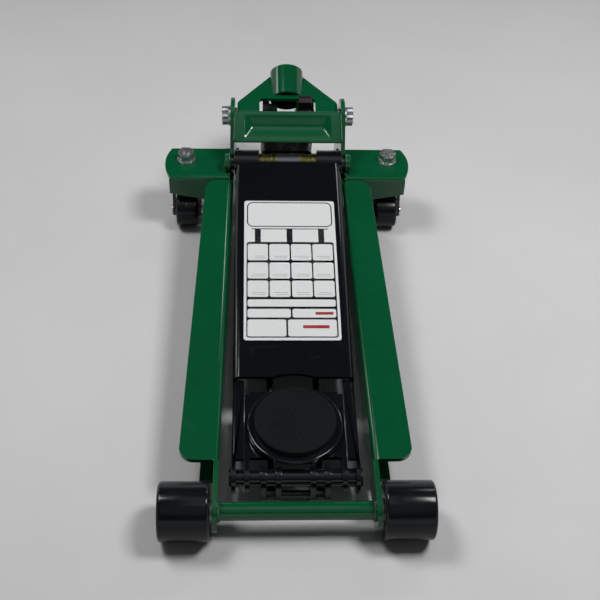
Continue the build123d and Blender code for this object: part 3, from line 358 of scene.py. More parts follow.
class ShaderKit:
    """Builds each shared effect once and places it in the materials."""

    def __init__(self) -> None:
        """Starts with no group built."""
        self.groups: dict[Effect, Tree] = {}
        self.makers: dict[Effect, Callable[[], Tree]] = {
            Effect.MOTTLE: self.make_mottle,
            Effect.EDGE_WEAR: self.make_edge_wear,
            Effect.DUST: self.make_dust,
            Effect.SCRATCHES: self.make_scratches,
            Effect.PEEL: self.make_peel,
            Effect.TURNING: self.make_turning,
            Effect.GRAIN: self.make_grain,
        }

    def use(self, graph: Graph, effect: Effect, **values: object) -> Sockets:
        """Places an effect in a material.

        Args:
            graph: The material's graph.
            effect: Which effect.
            values: The group's inputs by name, as sockets or numbers.

        Returns:
            The group's outputs.
        """
        if effect not in self.groups:
            self.groups[effect] = self.makers[effect]()
        node = graph.add("Group", node_tree=self.groups[effect])
        for name, value in values.items():
            graph.feed(node.inputs[name], value)
        return node.outputs

    @staticmethod
    def start(
            effect: Effect, inputs: dict[str, object],
            outputs: Sequence[str] = ("Mask",)) -> tuple[Graph, Sockets, Sockets]:
        """Opens a new group with its sockets.

        Args:
            effect: Which effect the group is for.
            inputs: Each input's name and first value; its kind follows from the value.
            outputs: The names of the outputs, of which Colour is a colour and the rest are numbers.

        Returns:
            The group's graph, what it is given and what it gives back.
        """
        tree = bpy.data.node_groups.new(effect.value, "ShaderNodeTree")
        kinds = {1: "NodeSocketFloat", 3: "NodeSocketVector", 4: "NodeSocketColor"}
        for name, value in inputs.items():
            kind = kinds[1 if isinstance(value, float) else len(value)]
            tree.interface.new_socket(name, in_out="INPUT", socket_type=kind).default_value = value
        for name in outputs:
            kind = "NodeSocketColor" if name == "Colour" else "NodeSocketFloat"
            tree.interface.new_socket(name, in_out="OUTPUT", socket_type=kind)
        return Graph(tree), tree.nodes.new("NodeGroupInput").outputs, tree.nodes.new("NodeGroupOutput").inputs

    def make_mottle(self) -> Tree:
        """Cloudy change between two colours, as in hand-sprayed paint or zinc plating.

        Returns:
            The group.
        """
        graph, given, result = self.start(
            Effect.MOTTLE, {"First": (0.5,) * 4, "Second": (0.5,) * 4, "Scale": 10.0, "Strength": 0.5},
            ("Colour", "Value"))
        place = graph.place()
        broad = graph.noise(place, given["Scale"], 3.0)
        fine = graph.noise(place, graph.scaled(given["Scale"], 7.0), 3.0, 0.6)
        cloud = graph.remap(graph.total(graph.scaled(broad, 0.65), graph.scaled(fine, 0.35)), 0.36, 0.64)
        graph.feed(result["Value"], cloud)
        share = graph.scaled(cloud, given["Strength"])
        graph.feed(result["Colour"], graph.blend(share, given["First"], given["Second"]))
        return graph.tree

    def make_edge_wear(self) -> Tree:
        """A broken mask along the outer edges, where a finish rubs thin.

        Returns:
            The group.
        """
        graph, given, result = self.start(
            Effect.EDGE_WEAR, {"Radius": 0.001, "Amount": 0.5, "Scale": 150.0})
        rounded = graph.add("Bevel", samples=4)
        graph.feed(rounded.inputs["Radius"], given["Radius"])
        surface = graph.add("NewGeometry")
        agreement = graph.vector("DOT_PRODUCT", rounded.outputs[0], surface.outputs["Normal"])
        edge = graph.remap(agreement, 0.985, 0.88)
        place = graph.place()
        broken = graph.remap(graph.noise(place, given["Scale"], 5.0, 0.65), 0.44, 0.6)
        mask = graph.scaled(graph.scaled(edge, broken), given["Amount"])
        graph.feed(result["Mask"], mask)
        return graph.tree

    def make_dust(self) -> Tree:
        """Fine dust that lies where a surface faces up.

        Returns:
            The group.
        """
        graph, given, result = self.start(Effect.DUST, {"Amount": 0.2, "Scale": 12.0})
        normal = graph.add("NewGeometry").outputs["Normal"]
        upward = graph.add("SeparateXYZ")
        graph.feed(upward.inputs[0], normal)
        place = graph.place()
        patches = graph.remap(graph.noise(place, given["Scale"], 4.0, 0.6), 0.38, 0.66, 0.35, 1.0)
        fine = graph.noise(place, graph.scaled(given["Scale"], 45.0), 2.0, 0.6)
        specks = graph.remap(fine, 0.35, 0.7, 0.55, 1.0)
        facing = graph.remap(upward.outputs["Z"], 0.1, 0.9)
        mask = graph.scaled(graph.scaled(facing, patches), graph.scaled(specks, given["Amount"]))
        graph.feed(result["Mask"], mask)
        return graph.tree

    def make_scratches(self) -> Tree:
        """Sparse hairline scratches in two directions.

        Returns:
            The group.
        """
        graph, given, result = self.start(Effect.SCRATCHES, {"Scale": 40.0, "Amount": 0.5})
        place = graph.place()
        masks = []
        for turn, stretch in ((0.5, (1.0, 0.05, 0.7)), (-1.1, (0.8, 0.035, 1.0))):
            turned = graph.add("VectorRotate", rotation_type="Z_AXIS")
            graph.feed(turned.inputs["Vector"], place)
            turned.inputs["Angle"].default_value = turn
            drawn = graph.vector("MULTIPLY", turned.outputs[0], stretch)
            cells = graph.add("TexVoronoi", feature="DISTANCE_TO_EDGE")
            graph.feed(cells.inputs["Vector"], drawn)
            graph.feed(cells.inputs["Scale"], given["Scale"])
            line = graph.remap(cells.outputs["Distance"], 0.012, 0.0)
            gate = graph.remap(graph.noise(drawn, 33.0, 1.0), 0.55, 0.62)
            masks.append(graph.scaled(line, gate))
        both = graph.calculate("MAXIMUM", masks[0], masks[1])
        graph.feed(result["Mask"], graph.scaled(both, given["Amount"]))
        return graph.tree

    def make_peel(self) -> Tree:
        """The soft ripple of sprayed paint.

        Returns:
            The group.
        """
        graph, given, result = self.start(Effect.PEEL, {"Scale": 350.0}, ("Height",))
        place = graph.place()
        swell = graph.noise(place, given["Scale"], 1.0, 0.4)
        fine = graph.noise(place, graph.scaled(given["Scale"], 4.0), 1.0, 0.5)
        graph.feed(result["Height"], graph.total(graph.scaled(swell, 0.8), graph.scaled(fine, 0.2)))
        return graph.tree

    def make_turning(self) -> Tree:
        """Tool marks round a turned piece's axis, on its side and on its ends.

        Returns:
            The group.
        """
        graph, given, result = self.start(
            Effect.TURNING, {"Centre": (0.0, 0.0, 0.0), "Direction": (1.0, 0.0, 0.0), "Scale": 900.0},
            ("Height", "Mask"))
        place = graph.place()
        offset = graph.vector("SUBTRACT", place, given["Centre"])
        along = graph.vector("DOT_PRODUCT", offset, given["Direction"])
        drawn = graph.add("VectorMath", operation="SCALE")
        graph.feed(drawn.inputs[0], given["Direction"])
        graph.feed(drawn.inputs["Scale"], along)
        radial = graph.vector("LENGTH", graph.vector("SUBTRACT", offset, drawn.outputs[0]))
        joined = graph.add("CombineXYZ")
        graph.feed(joined.inputs["X"], along)
        graph.feed(joined.inputs["Y"], radial)
        rings = graph.noise(joined.outputs[0], given["Scale"], 3.0, 0.7)
        graph.feed(result["Height"], rings)
        graph.feed(result["Mask"], graph.remap(rings, 0.42, 0.6))
        return graph.tree

    def make_grain(self) -> Tree:
        """The pebbled skin of a casting or of moulded rubber.

        Returns:
            The group.
        """
        graph, given, result = self.start(Effect.GRAIN, {"Scale": 700.0}, ("Height", "Mask"))
        place = graph.place()
        cells = graph.add("TexVoronoi", feature="SMOOTH_F1")
        graph.feed(cells.inputs["Vector"], place)
        graph.feed(cells.inputs["Scale"], given["Scale"])
        lumps = graph.noise(place, graph.scaled(given["Scale"], 0.25), 3.0, 0.6)
        graph.feed(result["Height"], graph.total(graph.scaled(cells.outputs["Distance"], 0.5), lumps))
        graph.feed(result["Mask"], graph.remap(lumps, 0.42, 0.62))
        return graph.tree


class Coat:
    """A material under way, with its graph, its shader and the shared effects."""

    def __init__(self, material: bpy.types.Material, kit: ShaderKit) -> None:
        """Starts a material with a shader and an output.

        Args:
            material: The new material.
            kit: The shared effects.
        """
        material.use_nodes = True
        material.node_tree.nodes.clear()
        self.kit = kit
        self.graph = Graph(material.node_tree)
        self.shader = self.graph.add("BsdfPrincipled")
        output = self.graph.add("OutputMaterial")
        self.graph.feed(output.inputs["Surface"], self.shader.outputs["BSDF"])

    def use(self, effect: Effect, **values: object) -> Sockets:
        """Places a shared effect, with its inputs by name, and gives its outputs."""
        return self.kit.use(self.graph, effect, **values)

    def feed(self, name: str, value: object) -> None:
        """Links one of the shader's inputs, or sets its own value."""
        self.graph.feed(self.shader.inputs[name], value)


@dataclass(frozen=True)
class Finish:
    """What every finish has: a name, its slot in the record, its colour and how its edges catch light."""

    name: str
    slot: str
    colour: Colour
    edge_radius: ClassVar[float] = 0.0004

    def build(self, kit: ShaderKit) -> bpy.types.Material:
        """Makes the material.

        Args:
            kit: The shared effects.

        Returns:
            The finished material.
        """
        material = bpy.data.materials.new(self.name)
        material.diffuse_color = self.colour
        self.fill(Coat(material, kit))
        return material

    def fill(self, coat: Coat) -> None:
        """Feeds the shader's sockets; each kind of finish has its own way."""
        raise NotImplementedError

    def relief(self, coat: Coat, height: Socket, depth: float) -> None:
        """Feeds the shader's normal from a height and from the rounded edges.

        Args:
            coat: The material under way.
            height: The socket of the height, from 0 to 1.
            depth: The height's full size in metres.
        """
        graph = coat.graph
        bump = graph.add("Bump")
        bump.inputs["Strength"].default_value = 1.0
        bump.inputs["Distance"].default_value = depth
        graph.feed(bump.inputs["Height"], height)
        rounded = graph.add("Bevel", samples=4)
        rounded.inputs["Radius"].default_value = self.edge_radius
        graph.feed(bump.inputs["Normal"], rounded.outputs[0])
        coat.feed("Normal", bump.outputs[0])


@dataclass(frozen=True)
class GlossPaint(Finish):
    """Stoved gloss paint with orange peel, thin edges, hairlines and a little dust."""

    deep: Colour
    bare: Colour
    gloss: float
    wear: float
    dust: float
    peel_depth: ClassVar[float] = 0.000048

    def fill(self, coat: Coat) -> None:
        """Feeds the shader's sockets.

        Args:
            coat: The material under way.
        """
        graph = coat.graph
        cloud = coat.use(Effect.MOTTLE, First=self.colour, Second=self.deep, Scale=9.0, Strength=0.8)
        wear = coat.use(Effect.EDGE_WEAR, Radius=0.0011, Amount=self.wear, Scale=190.0)
        dust = coat.use(Effect.DUST, Amount=self.dust, Scale=13.0)
        hairlines = coat.use(Effect.SCRATCHES, Scale=38.0, Amount=0.5)
        worn = graph.blend(wear["Mask"], cloud["Colour"], self.bare)
        lighter = graph.blend(graph.scaled(hairlines["Mask"], 0.02), worn, tint(150, 160, 155))
        coat.feed("Base Color", graph.blend(dust["Mask"], lighter, tint(150, 148, 140)))
        rough = graph.total(
            graph.remap(cloud["Value"], 0.0, 1.0, self.gloss, self.gloss + 0.03),
            graph.scaled(dust["Mask"], 0.9), graph.scaled(wear["Mask"], 0.25),
            graph.scaled(hairlines["Mask"], 0.06))
        coat.feed("Roughness", rough)
        peel = coat.use(Effect.PEEL, Scale=330.0)
        height = graph.total(peel["Height"], graph.scaled(wear["Mask"], -0.9))
        self.relief(coat, height, self.peel_depth)


@dataclass(frozen=True)
class Moulded(Finish):
    """Moulded plastic or rubber with a fine grain, scuffs and dust."""

    scuff: Colour
    rough: float
    grain_depth: float
    dust: float
    specular: float
    grain_scale: float = 1200.0

    def fill(self, coat: Coat) -> None:
        """Feeds the shader's sockets.

        Args:
            coat: The material under way.
        """
        graph = coat.graph
        cloud = coat.use(Effect.MOTTLE, First=self.colour, Second=self.scuff, Scale=22.0, Strength=0.12)
        rub = coat.use(Effect.EDGE_WEAR, Radius=0.0022, Amount=0.4, Scale=140.0)
        dust = coat.use(Effect.DUST, Amount=self.dust, Scale=20.0)
        grain = coat.use(Effect.GRAIN, Scale=self.grain_scale)
        coat.feed("Specular IOR Level", self.specular)
        rubbed = graph.blend(rub["Mask"], cloud["Colour"], self.scuff)
        coat.feed("Base Color", graph.blend(dust["Mask"], rubbed, tint(140, 138, 130)))
        rough = graph.total(
            graph.remap(cloud["Value"], 0.0, 1.0, self.rough - 0.03, self.rough + 0.05),
            graph.scaled(dust["Mask"], 0.5))
        coat.feed("Roughness", rough)
        self.relief(coat, grain["Height"], self.grain_depth)


@dataclass(frozen=True)
class Plated(Finish):
    """Zinc plating with cloudy passivation and rubbed edges."""

    second: Colour
    rough: float = 0.32
    metallic: float = 1.0
    grain_depth: ClassVar[float] = 0.000012

    def fill(self, coat: Coat) -> None:
        """Feeds the shader's sockets.

        Args:
            coat: The material under way.
        """
        graph = coat.graph
        cloud = coat.use(Effect.MOTTLE, First=self.colour, Second=self.second, Scale=95.0, Strength=0.9)
        wear = coat.use(Effect.EDGE_WEAR, Radius=0.0009, Amount=0.6, Scale=400.0)
        grain = coat.use(Effect.GRAIN, Scale=2600.0)
        dust = coat.use(Effect.DUST, Amount=0.1, Scale=40.0)
        bright = graph.blend(wear["Mask"], cloud["Colour"], tint(235, 235, 232))
        coat.feed("Base Color", graph.blend(dust["Mask"], bright, tint(120, 118, 110)))
        coat.feed("Metallic", self.metallic)
        rough = graph.total(
            graph.remap(cloud["Value"], 0.0, 1.0, self.rough - 0.08, self.rough + 0.12),
            graph.scaled(dust["Mask"], 0.6))
        coat.feed("Roughness", rough)
        self.relief(coat, grain["Height"], self.grain_depth)


@dataclass(frozen=True)
class Turned(Finish):
    """Turned or ground metal with tool marks round its axis and a film of oil."""

    centre: Triple
    axis: Axis
    stain: Colour
    rough: float
    stain_share: float = 0.35
    mark_depth: ClassVar[float] = 0.00001

    def fill(self, coat: Coat) -> None:
        """Feeds the shader's sockets.

        Args:
            coat: The material under way.
        """
        graph = coat.graph
        direction = [0.0, 0.0, 0.0]
        direction[self.axis.value] = 1.0
        rings = coat.use(
            Effect.TURNING, Centre=tuple(spot(*self.centre)), Direction=direction, Scale=1400.0)
        cloud = coat.use(
            Effect.MOTTLE, First=self.colour, Second=self.stain, Scale=60.0, Strength=self.stain_share)
        wear = coat.use(Effect.EDGE_WEAR, Radius=0.0008, Amount=0.5, Scale=300.0)
        bright = graph.blend(wear["Mask"], cloud["Colour"], tint(225, 224, 220))
        coat.feed("Base Color", bright)
        coat.feed("Metallic", 1.0)
        rough = graph.total(
            graph.remap(rings["Mask"], 0.0, 1.0, self.rough - 0.04, self.rough + 0.06),
            graph.remap(cloud["Value"], 0.0, 1.0, 0.0, 0.1))
        coat.feed("Roughness", rough)
        self.relief(coat, rings["Height"], self.mark_depth)


@dataclass(frozen=True)
class Cast(Finish):
    """Painted cast iron with a pebbled skin and oily hollows."""

    worn: Colour
    rough: float
    grain_depth: ClassVar[float] = 0.00003

    def fill(self, coat: Coat) -> None:
        """Feeds the shader's sockets.

        Args:
            coat: The material under way.
        """
        graph = coat.graph
        grain = coat.use(Effect.GRAIN, Scale=420.0)
        cloud = coat.use(Effect.MOTTLE, First=self.colour, Second=self.worn, Scale=25.0, Strength=0.15)
        wear = coat.use(Effect.EDGE_WEAR, Radius=0.0012, Amount=0.2, Scale=160.0)
        dust = coat.use(Effect.DUST, Amount=0.02, Scale=18.0)
        rubbed = graph.blend(wear["Mask"], cloud["Colour"], self.worn)
        coat.feed("Base Color", graph.blend(dust["Mask"], rubbed, tint(120, 116, 105)))
        rough = graph.remap(grain["Mask"], 0.0, 1.0, self.rough - 0.12, self.rough + 0.12)
        coat.feed("Roughness", rough)
        self.relief(coat, grain["Height"], self.grain_depth)


@dataclass(frozen=True)
class Film(Finish):
    """Printed adhesive film or its ink: slightly glossy, with scuffs and finger marks."""

    faded: Colour
    rough: float
    peel_depth: ClassVar[float] = 0.000006

    def fill(self, coat: Coat) -> None:
        """Feeds the shader's sockets.

        Args:
            coat: The material under way.
        """
        graph = coat.graph
        cloud = coat.use(Effect.MOTTLE, First=self.colour, Second=self.faded, Scale=16.0, Strength=0.5)
        hairlines = coat.use(Effect.SCRATCHES, Scale=55.0, Amount=0.3)
        dust = coat.use(Effect.DUST, Amount=0.02, Scale=22.0)
        scratched = graph.blend(graph.scaled(hairlines["Mask"], 0.25), cloud["Colour"], self.faded)
        coat.feed("Base Color", graph.blend(dust["Mask"], scratched, tint(150, 148, 140)))
        rough = graph.total(
            graph.remap(cloud["Value"], 0.0, 1.0, self.rough - 0.06, self.rough + 0.12),
            graph.scaled(hairlines["Mask"], 0.2))
        coat.feed("Roughness", rough)
        peel = coat.use(Effect.PEEL, Scale=900.0)
        self.relief(coat, peel["Height"], self.peel_depth)


class Palette:
    """All finishes of the jack, each built when a piece first asks for it."""

    def __init__(self, kit: ShaderKit) -> None:
        """Keeps the shared effects and lists the finishes.

        Args:
            kit: The shared effects.
        """
        self.kit = kit
        self.built: dict[str, bpy.types.Material] = {}
        self.green = GlossPaint(
            "green_gloss", "frame_green", tint(5, 79, 46), deep=tint(4, 72, 41), bare=tint(60, 92, 76),
            gloss=0.1, wear=0.25, dust=0.003)
        self.black = GlossPaint(
            "black_gloss", "arm_black", tint(12, 16, 20), deep=tint(10, 13, 16), bare=tint(62, 62, 62),
            gloss=0.1, wear=0.3, dust=0.003)
        self.roller = Moulded(
            "roller_nylon", "roller_black", tint(13, 16, 20), scuff=tint(36, 36, 38), rough=0.13,
            grain_depth=0.000006, dust=0.002, specular=0.28)
        self.tyre = Moulded(
            "caster_nylon", "caster_black", tint(12, 15, 18), scuff=tint(34, 34, 36), rough=0.2,
            grain_depth=0.00001, dust=0.002, specular=0.25)
        self.rubber = Moulded(
            "pad_rubber", "rubber", tint(14, 18, 19), scuff=tint(38, 40, 38), rough=0.6, grain_scale=900.0,
            grain_depth=0.00012, dust=0.006, specular=0.05)
        self.iron = Cast("casting_paint", "casting_black", tint(8, 11, 14), worn=tint(40, 40, 40), rough=0.36)
        self.zinc = Plated(
            "bright_zinc", "zinc", tint(222, 224, 225), second=tint(168, 171, 176), rough=0.22, metallic=0.95)
        # The yellow zinc is darkened to olive as painted shade, because the rod anchors it goes on sit in the
        # cover's shadow.
        self.shaded_yellow = Plated("yellow_zinc", "yellow_zinc", tint(92, 88, 40), second=tint(66, 62, 28))
        self.spring = Plated(
            "spring_wire", "spring_steel", tint(120, 120, 122), second=tint(80, 78, 76), rough=0.36)

    @staticmethod
    def steel(
            name: str, centre: Triple, axis: Axis, colour: Colour = tint(176, 174, 170),
            stain: Colour = tint(96, 88, 80), rough: float = 0.28) -> Turned:
        """A turned steel finish with its marks round one axis."""
        return Turned(name, "steel", colour, centre=centre, axis=axis, stain=stain, rough=rough)

    def material(self, finish: Finish) -> bpy.types.Material:
        """Builds a finish once.

        Args:
            finish: The finish that a piece takes.

        Returns:
            Its material.
        """
        if finish.name not in self.built:
            self.built[finish.name] = finish.build(self.kit)
        return self.built[finish.name]


class Bench:
    """Makes meshes, and gives pieces their body and their finish."""

    same_place = 1e-6
    flat_within = math.radians(0.4)
    sharp_over = math.radians(30.0)
    ripple_pitch = 1.1

    def __init__(self, nodes: dict[str, Piece], palette: Palette) -> None:
        """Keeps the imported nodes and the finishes."""
        self.nodes = nodes
        self.palette = palette

    @staticmethod
    def piece(name: str, mesh: bpy.types.Mesh, angle: float = 32.0) -> Piece:
        """Puts a mesh in the scene.

        Args:
            name: The new piece's name.
            mesh: Its mesh, in the row frame.
            angle: The angle in degrees over which its edges stay sharp.

        Returns:
            The piece.
        """
        made = bpy.data.objects.new(name, mesh)
        bpy.context.scene.collection.objects.link(made)
        mesh.shade_smooth()
        mesh.set_sharp_from_angle(angle=math.radians(angle))
        return made

    def from_faces(self, name: str, points: Sequence[Vector], faces: Faces, angle: float) -> Piece:
        """Makes a piece from points and faces, with doubles merged and normals outward.

        Args:
            name: The new piece's name.
            points: Corners in the row frame.
            faces: Each face's corners.
            angle: The angle in degrees over which its edges stay sharp.

        Returns:
            The piece.
        """
        mesh = bpy.data.meshes.new(name)
        mesh.from_pydata([tuple(point) for point in points], [], [tuple(face) for face in faces])
        work = bmesh.new()
        work.from_mesh(mesh)
        bmesh.ops.remove_doubles(work, verts=work.verts, dist=self.same_place)
        bmesh.ops.recalc_face_normals(work, faces=work.faces)
        return self.piece(name, emptied(work, mesh), angle)

    def rounded(self, piece: Piece, width: float, segments: int = 2) -> Piece:
        """Rounds a piece's sharp edges and keeps the shading of its flat faces flat.

        Args:
            piece: The piece.
            width: The rounding's width in millimetres.
            segments: Faces across the rounding.

        Returns:
            The same piece.
        """
        rounding = piece.modifiers.new("rounding", "BEVEL")
        rounding.width = width / 1000.0
        rounding.segments = segments
        rounding.limit_method = "ANGLE"
        rounding.angle_limit = self.sharp_over
        weights = piece.modifiers.new("weights", "WEIGHTED_NORMAL")
        weights.keep_sharp = True
        weights.weight = 100
        bpy.context.view_layer.update()
        evaluated = piece.evaluated_get(bpy.context.evaluated_depsgraph_get())
        mesh = bpy.data.meshes.new_from_object(evaluated)
        piece.modifiers.clear()
        piece.data = mesh
        return piece

    def extruded(
            self, name: str, outline: Sequence[Pair], start: float, end: float, width: float) -> Piece:
        """Draws an outline in Y and Z out along X and rounds its edges.

        Args:
            name: The new piece's name.
            outline: The outline's corners in order, in millimetres.
            start: Where it starts along X.
            end: Where it ends.
            width: The rounding's width in millimetres.

        Returns:
            The piece.
        """
        count = len(outline)
        points = [spot(x, y, z) for x in (start, end) for y, z in outline]
        faces: Faces = [list(range(count)), list(range(count, 2 * count))]
        return self.rounded(self.from_faces(name, points, faces + ring_faces(2, count), 32.0), width, 3)

    def softened(self, node: str, width: float) -> Piece:
        """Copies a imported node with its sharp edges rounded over.

        Args:
            node: The node's name.
            width: The rounding's width in millimetres.

        Returns:
            The new piece.
        """
        work = bmesh.new()
        work.from_mesh(self.nodes[node].data)
        bmesh.ops.remove_doubles(work, verts=work.verts, dist=2 * self.same_place)
        bmesh.ops.dissolve_limit(
            work, angle_limit=self.flat_within, verts=work.verts, edges=work.edges,
            use_dissolve_boundaries=False)
        mesh = emptied(work, bpy.data.meshes.new(node + "_soft"))
        if "custom_normal" in mesh.attributes:
            mesh.attributes.remove(mesh.attributes["custom_normal"])
        return self.rounded(self.piece(node + "_dressed", mesh), width)

    def turned(
            self, name: str, profile: Sequence[Pair], axis: Axis, centre: Vector, steps: int = 96,
            angle: float = 28.0) -> Piece:
        """Turns a profile about an axis.

        Args:
            name: The new piece's name.
            profile: Pairs of radius and place along the axis, in millimetres.
            axis: The axis's direction.
            centre: The point on the axis where the place along it is 0.
            steps: Faces round the piece.
            angle: The angle in degrees over which its edges stay sharp.

        Returns:
            The piece.
        """
        rows = [self.circle(axis, centre, radius, along, steps) for radius, along in profile]
        points = [point for row in rows for point in row]
        return self.from_faces(name, points, ring_faces(len(profile), steps), angle)

    @staticmethod
    def circle(axis: Axis, centre: Vector, radius: float, along: float, steps: int) -> list[Vector]:
        """Lists the points of a circle about an axis.

        Args:
            axis: The axis's direction.
            centre: The point on the axis where the place along it is 0.
            radius: The circle's radius in millimetres.
            along: Its place along the axis in millimetres.
            steps: Points round the circle.

        Returns:
            The points in the row frame.
        """
        turn = axis.frame
        return [centre + turn @ (Vector((x, y, along)) / 1000.0) for x, y in round_points(radius, steps)]

    def along_path(
            self, name: str, path: Sequence[Vector], radii: Sequence[float], steps: int,
            closed: bool) -> Piece:
        """Sweeps a round section along a path.

        Args:
            name: The new piece's name.
            path: Points in the row frame.
            radii: The section's radius in millimetres at each point.
            steps: Faces round the section.
            closed: Whether the path comes back to its start.

        Returns:
            The piece.
        """
        count = len(path)
        points: list[Vector] = []
        side = Vector((0, 0, 1))
        for place in range(count):
            before = path[place - 1] if place > 0 or closed else path[0]
            after = path[(place + 1) % count] if place < count - 1 or closed else path[-1]
            ahead = (after - before).normalized()
            side = side - ahead * side.dot(ahead)
            if side.length < 1e-4:
                side = ahead.orthogonal()
            side.normalize()
            other = ahead.cross(side)
            for bearing in bearings(steps):
                reach = side * math.cos(bearing) + other * math.sin(bearing)
                points.append(path[place] + reach * radii[place] / 1000.0)
        faces = ring_faces(count, steps, closed)
        if not closed:
            faces.append(list(range(steps)))
            faces.append([(count - 1) * steps + step for step in range(steps)])
        return self.from_faces(name, points, faces, 50.0)

    def weld(self, name: str, path: Sequence[Vector], radius: float, closed: bool = False) -> Piece:
        """Lays a rippled weld bead along a path.

        Args:
            name: The bead's name.
            path: Corner points in the row frame.
            radius: The bead's radius in millimetres.
            closed: Whether the bead runs right round.

        Returns:
            The bead.
        """
        dice = random.Random(name)
        corners = list(path) + ([path[0]] if closed else [])
        points: list[Vector] = []
        radii: list[float] = []
        travelled = 0.0
        for start, end in zip(corners, corners[1:]):
            length = (end - start).length * 1000.0
            count = max(2, int(length / (self.ripple_pitch / 4)))
            for index in range(count):
                points.append(start.lerp(end, index / count))
                wave = abs(math.sin(math.pi * (travelled + length * index / count) / self.ripple_pitch))
                radii.append(radius * (0.9 + 0.14 * wave + dice.uniform(-0.03, 0.03)))
            travelled += length
        if not closed:
            points.append(corners[-1])
            radii.append(radius * 0.6)
            radii[0] = radius * 0.6
        return self.along_path(name, points, radii, 10, closed)

    def hexagon(
            self, name: str, axis: Axis, centre: Vector, flats: float, height: float, bore: float = 0.0,
            outward: int = 1) -> Piece:
        """Makes a hexagon nut or bolt head with its corners chamfered as forging leaves them.

        Args:
            name: The new piece's name.
            axis: The bolt's direction.
            centre: The middle of the face that sits on the work.
            flats: The width across the flats in millimetres.
            height: The height in millimetres.
            bore: A nut's bore radius in millimetres, or 0 for a bolt head, whose top is dished.
            outward: 1 where it grows along the axis, -1 where it grows against it.

        Returns:
            The piece.
        """
        steps = 72
        turn = axis.frame
        corner, middle = flats / math.sqrt(3), flats / 2
        drop = (corner - middle) * math.tan(math.radians(30))
        rows: list[list[Vector]] = []

        def ring(limit: float, up: float) -> None:
            """Adds a hexagon.

            Args:
                limit: The radius in millimetres that its corners are cut to.
                up: Its height in millimetres.
            """
            row = []
            for bearing in bearings(steps):
                fold = (bearing % (math.pi / 3)) - math.pi / 6
                reach = min(middle / math.cos(fold), limit)
                edge_point = Vector((reach * math.cos(bearing), reach * math.sin(bearing), outward * up))
                row.append(centre + turn @ (edge_point / 1000.0))
            rows.append(row)

        def circle(radius: float, up: float) -> None:
            """Adds a circle at a height."""
            rows.append(self.circle(axis, centre, radius, outward * up, steps))

        face = middle * 0.97
        chamfer = (0.0, 0.35, 0.7, 1.0)
        circle(bore if bore > 0 else 0.01, 0.0)
        ring(face, 0.0)
        for share in chamfer:
            ring(face + (corner - face) * share, 0.1 + drop * share)
        for share in reversed(chamfer):
            ring(face + (corner - face) * share, height - drop * share - 0.05)
        circle(middle * 0.93, height)
        if bore > 0:
            circle(bore + 0.8, height)
            circle(bore, height - 0.8)
            circle(bore, 0.0)
        else:
            circle(middle * 0.55, height - 0.3)
            circle(0.01, height - 0.35)
        points = [point for row in rows for point in row]
        return self.from_faces(name, points, ring_faces(len(rows), steps), 22.0)

    def thread(self, name: str, start: Vector, radius: float, length: float, pitch: float) -> Piece:
        """Cuts an upright screw thread with a domed end.

        Args:
            name: The new piece's name.
            start: The point on its axis where the thread begins.
            radius: The thread's outer radius in millimetres.
            length: Its length in millimetres.
            pitch: The rise of one turn in millimetres.

        Returns:
            The piece.
        """
        steps = 36
        rows = int(length / pitch * 8)
        dome = pitch * 0.6
        points: list[Vector] = []
        for row in range(rows + 1):
            up = length * row / rows
            for step, bearing in enumerate(bearings(steps)):
                phase = (up / pitch - step / steps) % 1.0
                cut = pitch * 0.5 * abs(2 * phase - 1)
                if up >= length - dome:
                    cut = max(cut, (up - length + dome) * 1.1)
                reach = radius - cut
                offset = Vector((reach * math.cos(bearing), reach * math.sin(bearing), up))
                points.append(start + offset / 1000.0)
        faces = ring_faces(rows + 1, steps)
        faces.append([rows * steps + step for step in range(steps)])
        faces.append(list(range(steps)))
        return self.from_faces(name, points, faces, 40.0)

    def dress(self, piece: Piece, finish: Finish, nodes: Sequence[str] = (), body: str = "") -> Piece:
        """Gives a new piece its finish and its body, and hides what it stands for.

        Args:
            piece: The piece.
            finish: Its finish.
            nodes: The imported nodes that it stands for.
            body: The body that it rides on, if it isn't that of the nodes.

        Returns:
            The piece.
        """
        piece.data.materials.clear()
        piece.data.materials.append(self.palette.material(finish))
        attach(piece, body or self.nodes[nodes[0]]["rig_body"])
        if nodes:
            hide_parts(*nodes)
        return piece

    def soften(self, finish: Finish, width: float, *nodes: str) -> None:
        """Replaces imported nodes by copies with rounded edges.

        Args:
            finish: The finish that they all take.
            width: The rounding's width in millimetres.
            nodes: Their names.
        """
        for node in nodes:
            self.dress(self.softened(node, width), finish, (node,))

    def paint(self, finish: Finish, *nodes: str) -> None:
        """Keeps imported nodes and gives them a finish.

        Args:
            finish: The finish that they all take.
            nodes: Their names.
        """
        material = self.palette.material(finish)
        for node in nodes:
            for slot in self.nodes[node].material_slots:
                slot.material = material


@dataclass(frozen=True)
class Lamp:
    """One area lamp, with its place, its target and its two sides in metres and its power in watts."""

    name: str
    place: Triple
    target: Triple
    width: float
    length: float
    power: float

    def hang(self) -> None:
        """Hangs the lamp, facing its target."""
        data = bpy.data.lights.new(self.name, "AREA")
        data.shape = "RECTANGLE"
        data.size, data.size_y = self.width, self.length
        data.energy = self.power
        lamp = bpy.data.objects.new(self.name, data)
        lamp.location = self.place
        lamp.rotation_euler = (Vector(self.target) - Vector(self.place)).to_track_quat("-Z", "Y").to_euler()
        bpy.context.scene.collection.objects.link(lamp)


